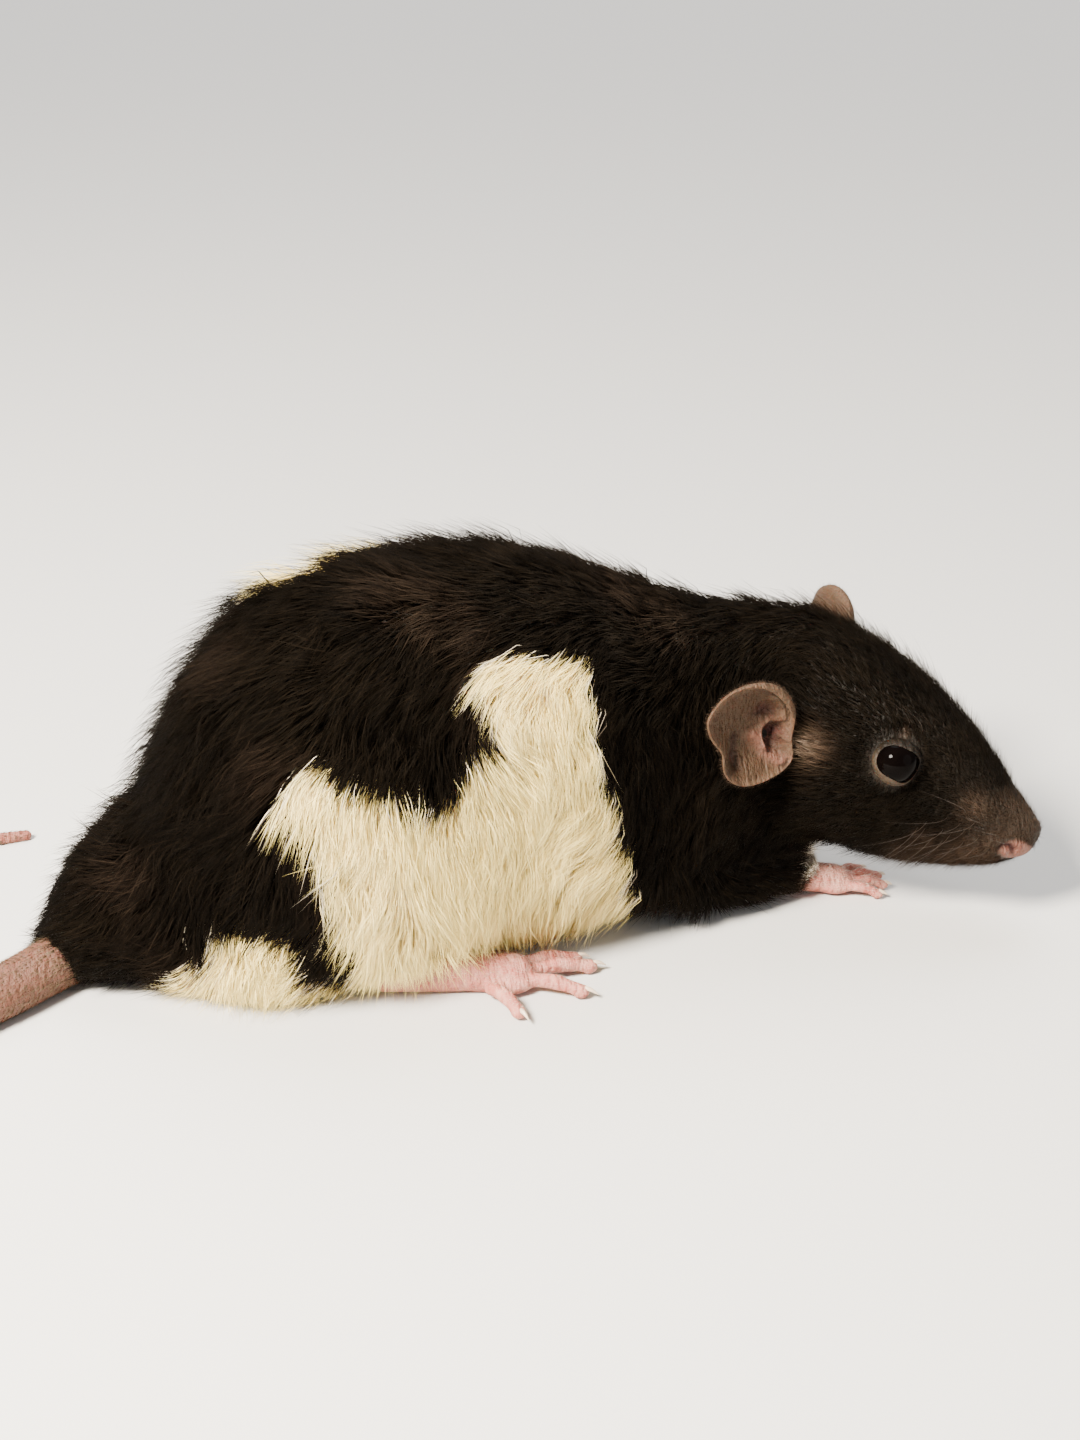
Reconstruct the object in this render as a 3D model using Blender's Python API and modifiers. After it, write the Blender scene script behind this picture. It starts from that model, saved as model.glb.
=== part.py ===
"""A dumbo rat, crouched on the floor with its head turned to its right, at life size.

While it is modelled the spine runs along +X, the animal's left is +Y and the floor is the plane
Z = 0. The forms include the coat, so they reach to the tips of the fur. The whole animal is made
first, from lofts, ellipsoids and tapered tubes that a voxel remesh fuses and smooths, and is then
parted into its named pieces by thin cuts. Sizes are in millimetres until a mesh is made.
"""

import math

import bmesh
import bpy
import numpy as np
from mathutils import Euler, Matrix, Vector
from mathutils.bvhtree import BVHTree

MM = 0.001
GAP = 0.3  # between pieces that touch

# Stations of the trunk: x, y of the spine, underside, back, half width.
TRUNK = np.array([
    (-90.4, -7.0, 0.4, 7.5, 3.2),
    (-87, -6.3, -0.3, 13.0, 7.5),
    (-81, -4.8, -0.5, 21.8, 13.0),
    (-75.5, -3.3, -0.6, 26.0, 16.5),
    (-70.5, -2.3, -0.7, 31.2, 19.2),
    (-64, -1.0, -0.7, 44.6, 22.8),
    (-52, 0.0, -0.7, 60.0, 28.5),
    (-34, 0.0, -0.7, 68.0, 31.0),
    (-14, 0.0, -0.7, 69.4, 31.0),
    (6, 0.0, -0.5, 65.2, 28.0),
    (22, -0.5, 0.5, 58.8, 21.5),
    (34, -2.0, 4.0, 54.6, 17.0),
    (44, -4.5, 10.0, 50.0, 12.5),
    (50, -6.5, 20.0, 42.0, 7.0),
], float)
TRUNK_WIDEST = 0.42  # height of the widest line, as a share of the section's height
BACK_ROUNDNESS = 2.1
BELLY_ROUNDNESS = 2.9

# The head's own frame has its origin between the ears, +X to the nose and +Z to the crown.
HEAD_AT = (46.2, -8.9, 36.2)
HEAD_TURN = (-1.5, 24.0, -31.0)  # roll, nose down, turn to the left, in degrees

# Stations of the head, in its own frame: x, y of the middle, underside, crown, half width.
HEAD = np.array([
    (-17, 0, -9.0, 11.5, 7.5),
    (-12, 0, -15.5, 15.8, 12.2),
    (-2, 0, -18.5, 17.9, 14.6),
    (9, 0, -20.0, 17.4, 14.6),
    (19, 0, -19.6, 15.3, 12.7),
    (27, 0, -17.6, 12.4, 9.8),
    (34, 0, -14.2, 8.8, 7.9),
    (40, 0, -10.6, 5.2, 6.0),
    (44, 0, -7.2, 3.2, 4.2),
    (46.8, 0, -3.8, 1.8, 2.3),
], float)
HEAD_WIDEST = 0.5
HEAD_ROUNDNESS = 2.15

# Masses under the coat: centre and radii. Those of a pair are the left one.
HAUNCH = ((-33, 19.0, 25.0), (29, 17.0, 28.0))
SHOULDER = ((23, 11.5, 23.0), (18, 11.5, 19.0))
CHEST = ((40, -5.0, 18.0), (13, 13.5, 12.5))
CHEEK = ((9.0, 8.4, -6.0), (12.0, 6.8, 11.0))
WHISKER_PAD = ((36.5, 4.0, -3.6), (7.0, 4.7, 5.4))
NOSE_PAD = ((44.2, 0.0, -3.0), (2.7, 3.2, 2.5))

# Masses along a path, and their radius at each of its points.
NECK_PATH = ((18, 0, 35), (34, -3.0, 39.2), (46, -8.2, 38.6))
NECK_RADII = (20.5, 16.9, 15.4)
ARM_PATH = ((24, 14.5, 22.0), (20, 16.0, 10.0), (35, 13.5, 5.8), (47.5, 11.4, 4.2))
ARM_RADII = (9.0, 7.0, 5.2, 3.6)
SHANK_PATH = ((-32, 24.5, 8.0), (-52, 21.0, 6.5), (-66, 17.0, 5.5))
SHANK_RADII = (7.2, 8.4, 6.4)

# Where the whole is parted.
NAPE = -4.0  # the head from the neck, ahead of the head's own origin
THROAT_LEAN = 14.0  # degrees by which that cut runs forward as it goes down
CHIN_CLEARANCE = 8.8  # height of the head's lowest point above the floor
NECK_FROM = 22.0
RUMP_TO = -50.0
ARM_OUTLINE = ((8, -8), (9, 8), (13, 22), (19, 30), (27, 32), (34, 27), (37, 18), (43, 12.5),
               (62, 10.5), (62, -8))  # x, z of the region that an arm takes, seen from its side
ARM_INSIDE = 7.4  # how far from the middle of the animal that region starts
THIGH_ROOM = ((-30, 30.0, 22.0), (29, 17.0, 28.0))

EYE_AT = (17.4, 12.0, 4.5)
EYE_RADIUS = 3.9
EYE_PROUD = 2.6  # how far it stands out of the head
LID_THICKNESS = 1.1

NOSTRIL_PATH = ((47.0, 1.2, -3.2), (45.2, 2.0, -3.4), (43.2, 3.4, -4.0))
NOSTRIL_DIAMETER = 1.1
MOUTH_PATH = ((44.4, 0.0, -7.2), (41.0, 3.6, -9.4), (36.0, 6.2, -11.4), (30.0, 7.9, -12.2))
MOUTH_DEPTH = 0.9
LIP_THICKNESS = 1.8
PHILTRUM_PATH = ((46.8, 0.0, -3.6), (46.2, 0.0, -5.4), (44.6, 0.0, -7.2))
PHILTRUM_DEPTH = 0.6

EAR_ROOT = (1.0, 15.2, -0.4)
EAR_LENGTH = 18.5
EAR_WIDTH = 17.5
EAR_THICKNESS = 0.9
EAR_CUP = 3.4
EAR_LEAN = 1.6
EAR_STALK = ((-6.0, 0, 2.0), (3.1, 4.2, 4.6))
# Reach of the rim from the ear's middle every 15 degrees, as a share of the half width, from the
# edge that lies uppermost round by the tip.
EAR_OUTLINE = (1.13, 1.14, 1.14, 1.13, 1.10, 1.06, 0.88, 0.70, 0.63, 0.69, 0.78, 0.84,
               0.86, 0.86, 0.87, 0.90, 0.97, 1.04, 1.06, 1.02, 1.03, 1.00, 1.03, 1.08)
# The way from an ear's root to its tip, and the way its hollow side looks. The right ear is laid
# back and the left one is pricked.
EAR_POSES = {"left": ((-0.35, 0.76, 0.34), (0.79, 0.53, 0.07)),
             "right": ((-0.70, 0.72, 0.0), (0.55, 0.74, 0.32))}

FOOT_HEEL = (-33.5, 25.0, 0.0)
FOOT_SPREAD = 11.0  # degrees that a hind foot turns out
SOLE_PATH = ((0, 0, 4.6), (7, 0, 3.4), (15, 0, 2.9), (22, 0, 2.5))
SOLE_RADII = (4.4, 3.6, 3.3, 3.6)
BALL = ((21, 0, 2.1), (5.4, 5.0, 2.5))
# Root and tip of each toe from the inner to the outer one: x, y, x, y.
TOES = ((15.5, -3.4, 22.6, -6.8), (22.5, -3.2, 33.0, -6.0), (24.0, -1.0, 35.4, -3.4),
        (23.4, 1.4, 33.4, 4.4), (18.0, 3.4, 22.6, 10.2))
TOE_THICKNESS = 2.6
TOE_CLAW = 2.6

HAND_AT = (48.6, 11.5, 0.0)
HAND_SPREAD = 4.0
WRIST_PATH = ((-4.5, 0, 4.4), (-1.0, 0, 3.4), (4.0, 0, 2.4))
WRIST_RADII = (3.3, 2.9, 2.8)
PALM = ((4.0, 0, 1.9), (4.2, 3.6, 2.1))
FINGERS = ((4.5, -2.3, 10.6, -4.8), (6.0, -0.9, 13.0, -1.8), (6.0, 0.9, 13.0, 1.6),
           (4.6, 2.3, 11.0, 4.6))
FINGER_THICKNESS = 1.9
FINGER_CLAW = 1.5

# The tail's middle line over the floor, and its thickness at each of these points.
TAIL_PATH = ((-76, -5.0), (-86, -10.5), (-96, -18.0), (-110, -26.0), (-128, -27.5), (-143, -18.0),
             (-150, 0.0), (-146, 19.0), (-132, 33.0), (-112, 41.0), (-90, 44.0))
TAIL_THICKNESS = (10.5, 9.6, 8.9, 8.0, 7.1, 6.3, 5.6, 4.9, 4.2, 3.3, 2.0)
TAIL_ROOT_HEIGHT = 6.4
TAIL_FLAT = 0.12  # how much of its roundness the tail's flat underside takes away
TAIL_LENGTHS = 4

BODY_VOXEL = 1.1
FOOT_VOXEL = 0.42
HAND_VOXEL = 0.36
BODY_TRIANGLES = 3000
HEAD_TRIANGLES = 6400  # on the whole animal, of which only the head is kept
FOOT_TRIANGLES = 800
HAND_TRIANGLES = 540

# Base colour and roughness of each kind of surface.
SURFACES = {
    "dark_coat": ((0.045, 0.033, 0.027, 1), 0.75),
    "pale_coat": ((0.72, 0.66, 0.56, 1), 0.8),
    "pink_skin": ((0.62, 0.38, 0.34, 1), 0.5),
    "ear_skin": ((0.32, 0.2, 0.16, 1), 0.55),
    "black_eye": ((0.008, 0.006, 0.006, 1), 0.05),
}
SURFACE_OF = {"eye": "black_eye", "ear": "ear_skin", "tail": "pink_skin", "hand": "pink_skin",
              "hind_foot": "pink_skin", "torso": "pale_coat"}

SIDES = {"left": 1, "right": -1}

rat = bpy.data.collections.new("dumbo_rat")
workbench = bpy.data.collections.new("workbench")  # holds shapes and cutters while they are used


def material(name):
    """The Principled material of one kind of surface, made once."""
    found = bpy.data.materials.get(name)
    if found:
        return found
    colour, roughness = SURFACES[name]
    surface = bpy.data.materials.new(name)
    surface.use_nodes = True
    shader = surface.node_tree.nodes["Principled BSDF"]
    shader.inputs["Base Color"].default_value = colour
    shader.inputs["Roughness"].default_value = roughness
    shader.inputs["Metallic"].default_value = 0.0
    return surface


def made(name, bm, frame=Matrix()):
    """A mesh object in metres from a bmesh in millimetres, which it frees."""
    bm.transform(frame)
    bm.normal_update()
    bmesh.ops.recalc_face_normals(bm, faces=bm.faces)
    bm.transform(Matrix.Scale(MM, 4))
    mesh = bpy.data.meshes.new(name)
    bm.to_mesh(mesh)
    bm.free()
    obj = bpy.data.objects.new(name, mesh)
    workbench.objects.link(obj)
    return obj


def removed(*objects):
    for obj in objects:
        bpy.data.objects.remove(obj, do_unlink=True)


def copied(obj, name):
    twin = bpy.data.objects.new(name, obj.data.copy())
    workbench.objects.link(twin)
    return twin


def settled(obj):
    """Replaces an object's mesh by what its modifiers make of it."""
    graph = bpy.context.evaluated_depsgraph_get()
    mesh = bpy.data.meshes.new_from_object(obj.evaluated_get(graph))
    obj.modifiers.clear()
    obj.data = mesh
    return obj


def on_side(point, side):
    """A point of the left side, or its mirror image where side is -1."""
    return (point[0], point[1] * side, point[2])


def head_frame():
    turn = Euler([math.radians(angle) for angle in HEAD_TURN], "XYZ")
    return Matrix.Translation(HEAD_AT) @ turn.to_matrix().to_4x4()


def smooth_between(knots, values, at):
    """Values at places between the knots, on a smooth curve through them (cubic Hermite)."""
    knots = np.asarray(knots, float)
    values = np.asarray(values, float)
    at = np.asarray(at, float)
    slopes = np.gradient(values, knots, axis=0)
    low = np.clip(np.searchsorted(knots, at, side="right") - 1, 0, len(knots) - 2)
    span = knots[low + 1] - knots[low]
    t = (at - knots[low]) / span
    if values.ndim > 1:
        t = t[:, None]
        span = span[:, None]
    start = (2 * t**3 - 3 * t**2 + 1) * values[low] + (t**3 - 2 * t**2 + t) * span * slopes[low]
    end = (3 * t**2 - 2 * t**3) * values[low + 1] + (t**3 - t**2) * span * slopes[low + 1]
    return start + end


def way_along(points):
    """How far each point of a path lies from its start, along the path."""
    steps = np.linalg.norm(np.diff(np.asarray(points, float), axis=0), axis=1)
    return np.concatenate([[0], np.cumsum(steps)])


def loft(name, stations, widest, above, below, spacing, frame=Matrix(), around=36):
    """A closed body through sections that stand across X.

    A section's half width is reached at the share `widest` of its height. Above that line it is
    a superellipse of exponent `above`, and below it one of exponent `below`.
    """
    count = int((stations[-1, 0] - stations[0, 0]) / spacing) + 1
    xs = np.linspace(stations[0, 0], stations[-1, 0], count)
    spine, low, high, half = smooth_between(stations[:, 0], stations[:, 1:], xs).T
    angle = np.linspace(0, 2 * np.pi, around, endpoint=False)
    power = 2 / np.where(np.sin(angle) > 0, above, below)
    across = np.sign(np.cos(angle)) * np.abs(np.cos(angle)) ** power
    up = np.sign(np.sin(angle)) * np.abs(np.sin(angle)) ** power
    middle = low + widest * (high - low)
    bm = bmesh.new()
    rings = []
    for x, y, w, m, bottom, top in zip(xs, spine, half, middle, low, high):
        heights = np.where(up > 0, m + up * (top - m), m + up * (m - bottom))
        rings.append([bm.verts.new((x, y + w * a, z)) for a, z in zip(across, heights)])
    for near, far in zip(rings, rings[1:]):
        for i in range(around):
            j = (i + 1) % around
            bm.faces.new((near[i], near[j], far[j], far[i]))
    bm.faces.new(rings[0])
    bm.faces.new(rings[-1])
    return made(name, bm, frame)


def ellipsoid(name, centre, radii, frame=Matrix(), segments=28, rings=18):
    bm = bmesh.new()
    bmesh.ops.create_uvsphere(bm, u_segments=segments, v_segments=rings, radius=1)
    shape = Matrix.Translation(centre) @ Matrix.Diagonal((*radii, 1))
    return made(name, bm, frame @ shape)


def block(name, low, high, frame=Matrix()):
    bm = bmesh.new()
    bmesh.ops.create_cube(bm, size=1)
    size = Vector(high) - Vector(low)
    centre = (Vector(high) + Vector(low)) / 2
    return made(name, bm, frame @ Matrix.Translation(centre) @ Matrix.Diagonal((*size, 1)))


def tube(name, points, radii, frame=Matrix(), resolution=3):
    """A tapered tube along the points, from a curve whose caps are welded."""
    curve = bpy.data.curves.new(name, "CURVE")
    curve.dimensions = "3D"
    curve.bevel_depth = MM
    curve.bevel_resolution = resolution
    curve.use_fill_caps = True
    spline = curve.splines.new("POLY")
    spline.points.add(len(points) - 1)
    for point, place, radius in zip(spline.points, points, radii):
        point.co = (*(frame @ Vector(place) * MM), 1)
        point.radius = radius
    holder = bpy.data.objects.new(name, curve)
    workbench.objects.link(holder)
    graph = bpy.context.evaluated_depsgraph_get()
    mesh = bpy.data.meshes.new_from_object(holder.evaluated_get(graph))
    removed(holder)
    bm = bmesh.new()
    bm.from_mesh(mesh)
    bmesh.ops.remove_doubles(bm, verts=bm.verts, dist=1e-6)
    bm.transform(Matrix.Scale(1 / MM, 4))
    return made(name, bm)


def limb(name, points, radii, count, frame=Matrix(), resolution=3):
    """A tube along a smooth curve through the points, rounded at its tip."""
    along = way_along(points)
    at = np.linspace(0, along[-1], count)
    path = smooth_between(along, points, at)
    thick = smooth_between(along, radii, at)
    heading = (path[-1] - path[-2]) / np.linalg.norm(path[-1] - path[-2])
    tip, tip_radius = path[-1], thick[-1]
    for share in (0.5, 0.87, 0.99):
        path = np.vstack([path, tip + heading * tip_radius * share])
        thick = np.append(thick, tip_radius * math.sqrt(1 - share**2))
    return tube(name, path, thick, frame, resolution)


def joined(name, pieces):
    """One mesh that holds the pieces' own, still overlapping."""
    bm = bmesh.new()
    for piece in pieces:
        bm.from_mesh(piece.data)
    bm.transform(Matrix.Scale(1 / MM, 4))
    removed(*pieces)
    return made(name, bm)


def fused(whole, voxel, smoothing):
    """Overlapping shapes made one smooth skin."""
    remesh = whole.modifiers.new("one skin", "REMESH")
    remesh.mode = "VOXEL"
    remesh.voxel_size = voxel * MM
    soften = whole.modifiers.new("soften", "SMOOTH")
    soften.factor = 0.5
    soften.iterations = smoothing
    return settled(whole)


def thinned(obj, triangles):
    """The same form in about this many triangles."""
    obj.data.calc_loop_triangles()
    thin = obj.modifiers.new("thin", "DECIMATE")
    thin.ratio = min(1.0, triangles / len(obj.data.loop_triangles))
    return settled(obj)


def grown(obj, by):
    """A copy that stands proud of the object by this much all over."""
    bigger = copied(obj, obj.name + "_grown")
    swell = bigger.modifiers.new("swell", "DISPLACE")
    swell.mid_level = 0.0
    swell.strength = by * MM
    return settled(bigger)


def largest(obj):
    """Triangulates the object, and drops all but its largest closed surface."""
    bm = bmesh.new()
    bm.from_mesh(obj.data)
    bmesh.ops.remove_doubles(bm, verts=bm.verts, dist=2e-6)
    bmesh.ops.dissolve_degenerate(bm, edges=bm.edges, dist=2e-6)
    left = set(bm.faces)
    shells = []
    while left:
        shell = set()
        edge = [left.pop()]
        while edge:
            face = edge.pop()
            shell.add(face)
            near = {other for line in face.edges for other in line.link_faces} & left
            left -= near
            edge.extend(near)
        shells.append(shell)
    keep = max(shells, key=len)
    loose = [face for face in bm.faces if face not in keep]
    bmesh.ops.delete(bm, geom=loose, context="FACES")
    bmesh.ops.triangulate(bm, faces=bm.faces)
    bm.to_mesh(obj.data)
    bm.free()
    return obj


def cut(obj, operation, *others):
    """One Boolean after another on the object, by the solver that takes long curved cuts."""
    for other in others:
        knife = obj.modifiers.new(operation.lower(), "BOOLEAN")
        knife.operation = operation
        knife.solver = "MANIFOLD"
        knife.object = other
        settled(obj)
    return largest(obj)


def surface_of(obj):
    """Finds the nearest point of an object's skin, and the way it faces there, in millimetres."""
    tree = BVHTree.FromPolygons(
        [vertex.co / MM for vertex in obj.data.vertices],
        [face.vertices[:] for face in obj.data.polygons],
    )

    def nearest(point):
        place, normal, _, _ = tree.find_nearest(Vector(point))
        return place, normal

    return nearest


def whole_body(frame):
    """Trunk, neck, limbs and head, as overlapping masses."""
    pieces = [
        loft("trunk", TRUNK, TRUNK_WIDEST, BACK_ROUNDNESS, BELLY_ROUNDNESS, 3.0),
        loft("skull", HEAD, HEAD_WIDEST, HEAD_ROUNDNESS, HEAD_ROUNDNESS, 2.0, frame),
        limb("nape", NECK_PATH, NECK_RADII, 8, resolution=6),
        ellipsoid("chest", *CHEST),
        ellipsoid("nose_pad", *NOSE_PAD, frame),
    ]
    for side in SIDES.values():
        for name, (centre, radii) in (("haunch", HAUNCH), ("shoulder", SHOULDER)):
            pieces.append(ellipsoid(name, on_side(centre, side), radii))
        for name, (centre, radii) in (("cheek", CHEEK), ("whisker_pad", WHISKER_PAD)):
            pieces.append(ellipsoid(name, on_side(centre, side), radii, frame))
        for name, path, radii in (("arm", ARM_PATH, ARM_RADII), ("shank", SHANK_PATH, SHANK_RADII)):
            points = [on_side(point, side) for point in path]
            pieces.append(limb(name, points, radii, 12, resolution=4))
    return joined("whole", pieces)


def digit(name, root, tip, lift, thickness, claw, frame):
    """A toe or finger from its root to its tip, arched by `lift`, and the claw it carries."""
    root, tip = Vector(root), Vector(tip)
    along = tip - root
    ahead = along.normalized()
    middle = root + along * 0.55 + Vector((0, 0, lift))
    flesh = limb(name, (root, middle, tip), (thickness * 0.52, thickness * 0.5, thickness * 0.46),
                 7, frame)
    base = tip - ahead * thickness * 0.25 + Vector((0, 0, 0.35))
    knee = tip + ahead * claw * 0.55 + Vector((0, 0, 0.3))
    point = tip + ahead * claw - Vector((0, 0, 0.35))
    nail = limb(name + "_claw", (base, knee, point), (0.55, 0.42, 0.22), 5, frame, resolution=1)
    return [flesh, nail]


def hind_foot(side):
    """A hind foot on the floor: heel, sole, ball, five toes and their claws."""
    frame = (Matrix.Translation(on_side(FOOT_HEEL, side))
             @ Matrix.Rotation(math.radians(FOOT_SPREAD * side), 4, "Z"))
    pieces = [limb("sole", SOLE_PATH, SOLE_RADII, 9, frame), ellipsoid("ball", *BALL, frame)]
    for number, (x0, y0, x1, y1) in enumerate(TOES, 1):
        pieces += digit(f"toe_{number}", (x0, y0 * side, 2.0), (x1, y1 * side, 1.2), 0.9,
                        TOE_THICKNESS, TOE_CLAW, frame)
    return thinned(fused(joined("hind_foot", pieces), FOOT_VOXEL, 1), FOOT_TRIANGLES)


def hand(side):
    """A forepaw on the floor: wrist, palm, four fingers and their claws."""
    frame = (Matrix.Translation(on_side(HAND_AT, side))
             @ Matrix.Rotation(math.radians(HAND_SPREAD * side), 4, "Z"))
    pieces = [limb("wrist", WRIST_PATH, WRIST_RADII, 6, frame), ellipsoid("palm", *PALM, frame)]
    for number, (x0, y0, x1, y1) in enumerate(FINGERS, 1):
        pieces += digit(f"finger_{number}", (x0, y0 * side, 1.8), (x1, y1 * side, 1.0), 0.8,
                        FINGER_THICKNESS, FINGER_CLAW, frame)
    return thinned(fused(joined("hand", pieces), HAND_VOXEL, 1), HAND_TRIANGLES)


def ring(name, centre, axis, radius, thickness):
    """A torus round an axis."""
    bpy.ops.mesh.primitive_torus_add(major_segments=24, minor_segments=8,
                                     major_radius=radius * MM, minor_radius=thickness / 2 * MM)
    torus = bpy.context.object
    torus.name = name
    for holder in list(torus.users_collection):
        holder.objects.unlink(torus)
    workbench.objects.link(torus)
    turn = Vector(axis).to_track_quat("Z", "Y").to_matrix().to_4x4()
    torus.data.transform(Matrix.Translation(Vector(centre) * MM) @ turn)
    return torus


def set_eye(head, name, side, frame):
    """An eye in its socket in the head, with a lid all round it."""
    surface, out = surface_of(head)(frame @ Vector(on_side(EYE_AT, side)))
    centre = surface - out * (EYE_RADIUS - EYE_PROUD)
    eye = ellipsoid(name, centre, (EYE_RADIUS,) * 3, segments=18, rings=10)
    lid = ring("lid", centre + out * EYE_PROUD * 0.45, out, EYE_RADIUS * 0.97, LID_THICKNESS)
    socket = ellipsoid("socket", centre, (EYE_RADIUS + GAP,) * 3, segments=20, rings=12)
    cut(head, "UNION", lid)
    cut(head, "DIFFERENCE", socket)
    removed(lid, socket)
    return eye


def open_face(head, frame):
    """Gives the head its upper lip, the line of its mouth and its nostrils."""
    nearest = surface_of(head)
    along = way_along(MOUTH_PATH)
    path = smooth_between(along, MOUTH_PATH, np.linspace(0, along[-1], 8))
    halves = [[nearest(frame @ Vector(on_side(point, side)))[0] for point in path]
              for side in SIDES.values()]
    mouth = [*reversed(halves[1]), *halves[0][1:]]
    above = frame.to_3x3() @ Vector((0, 0, LIP_THICKNESS * 0.62))
    fullness = 0.3 + 0.7 * np.sin(np.linspace(0, np.pi, len(mouth))) ** 0.5
    lip = tube("lip", [point + above for point in mouth], fullness * LIP_THICKNESS / 2)
    groove = tube("mouth", mouth, fullness * MOUTH_DEPTH / 2, resolution=1)
    split = [nearest(frame @ Vector(point))[0] for point in PHILTRUM_PATH]
    philtrum = tube("philtrum", split, [PHILTRUM_DEPTH / 2] * len(split), resolution=1)
    cut(head, "UNION", lip)
    cut(head, "DIFFERENCE", groove, philtrum)
    removed(lip, groove, philtrum)
    for side in SIDES.values():
        path = [on_side(point, side) for point in NOSTRIL_PATH]
        nostril = tube("nostril", path, [NOSTRIL_DIAMETER / 2] * len(path), frame, 1)
        cut(head, "DIFFERENCE", nostril)
        removed(nostril)


def ear(word, frame, around=24, rings=4):
    """An ear: a thin round shell, hollow on its front side, with a stalk behind its root.

    In the ear's own frame X is the way the hollow looks, Y runs across and Z from root to tip.
    """
    side = SIDES[word]
    up = Vector(on_side(EAR_POSES[word][0], side)).normalized()
    face = Vector(on_side(EAR_POSES[word][1], side))
    face = (face - up * face.dot(up)).normalized()
    axes = Matrix((face, up.cross(face), up)).transposed().to_4x4()
    place = frame @ Matrix.Translation(on_side(EAR_ROOT, side)) @ axes
    corners = np.arange(len(EAR_OUTLINE)) * 360 / len(EAR_OUTLINE)
    bm = bmesh.new()
    grid = []
    for share in np.linspace(0, 1, rings + 1)[1:]:
        line = []
        for angle in np.linspace(0, 2 * np.pi, around, endpoint=False):
            reach = share * np.interp(math.degrees(angle), corners, EAR_OUTLINE, period=360)
            rise = (1 + reach * math.sin(angle)) / 2
            across = -side * EAR_WIDTH / 2 * reach * math.cos(angle)
            hollow = EAR_CUP * (1 - share**2) * (1 - 0.5 * share * math.sin(angle))
            line.append(bm.verts.new((-hollow - EAR_LEAN * rise**2, across, EAR_LENGTH * rise)))
        grid.append(line)
    middle = bm.verts.new((-EAR_CUP - EAR_LEAN / 4, 0, EAR_LENGTH / 2))
    for i in range(around):
        j = (i + 1) % around
        bm.faces.new((middle, grid[0][i], grid[0][j]))
        for inner, outer in zip(grid, grid[1:]):
            bm.faces.new((inner[i], outer[i], outer[j], inner[j]))
    shell = made("ear_" + word, bm, place)
    wall = shell.modifiers.new("wall", "SOLIDIFY")
    wall.thickness = EAR_THICKNESS * MM
    wall.offset = 0
    settled(shell)
    stalk = ellipsoid("ear_stalk", *EAR_STALK, place, 12, 8)
    cut(shell, "UNION", stalk)
    removed(stalk)
    return shell


def tail_lengths():
    """The tail, lying on the floor, as a few lengths that meet end to end."""
    radii = np.array(TAIL_THICKNESS) / 2
    middle = np.column_stack([np.array(TAIL_PATH, float), radii - TAIL_FLAT])
    middle[0, 2] = TAIL_ROOT_HEIGHT
    along = way_along(middle)
    ends = np.linspace(0, along[-1], TAIL_LENGTHS + 1)
    lengths = []
    for number, (start, end) in enumerate(zip(ends, ends[1:]), 1):
        at = [start + GAP / 2, *np.linspace(start + 1, end - 1, 11), end - GAP / 2]
        path = smooth_between(along, middle, at)
        lengths.append(tube(f"tail_{number}", path, smooth_between(along, radii, at)))
    return lengths


def head_room(extra):
    """The space that holds the head: ahead of a plane that leans forward, and above the chest."""
    turned = (Matrix.Translation(HEAD_AT) @ Matrix.Rotation(math.radians(HEAD_TURN[2]), 4, "Z")
              @ Matrix.Rotation(math.radians(-THROAT_LEAN), 4, "Y"))
    space = block("head_room", (NAPE - extra, -40, -60), (70, 40, 40), turned)
    under = block("under", (-100, -100, -100), (160, 100, CHIN_CLEARANCE - extra))
    cut(space, "DIFFERENCE", under)
    removed(under)
    return space


def arm_room(side, extra):
    """A prism across the animal, wider by `extra` on each of its sides."""
    outline = np.array(ARM_OUTLINE, float)
    ahead = np.roll(outline, -1, axis=0) - outline
    out = np.column_stack([-ahead[:, 1], ahead[:, 0]])
    out /= np.linalg.norm(out, axis=1)[:, None]
    corner = out + np.roll(out, 1, axis=0)
    corner /= 1 + (out * np.roll(out, 1, axis=0)).sum(axis=1)[:, None]
    outline += corner * extra
    bm = bmesh.new()
    inner, outer = [[bm.verts.new((x, y * side, z)) for x, z in outline]
                    for y in (ARM_INSIDE - extra, 60)]
    bm.faces.new(inner)
    bm.faces.new(outer)
    for i in range(len(outline)):
        bm.faces.new((inner[i - 1], inner[i], outer[i], outer[i - 1]))
    return made("arm_room", bm)


def thigh_room(side, extra):
    centre, radii = THIGH_ROOM
    return ellipsoid("thigh_room", on_side(centre, side), [radius + extra for radius in radii],
                     segments=20, rings=10)


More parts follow.
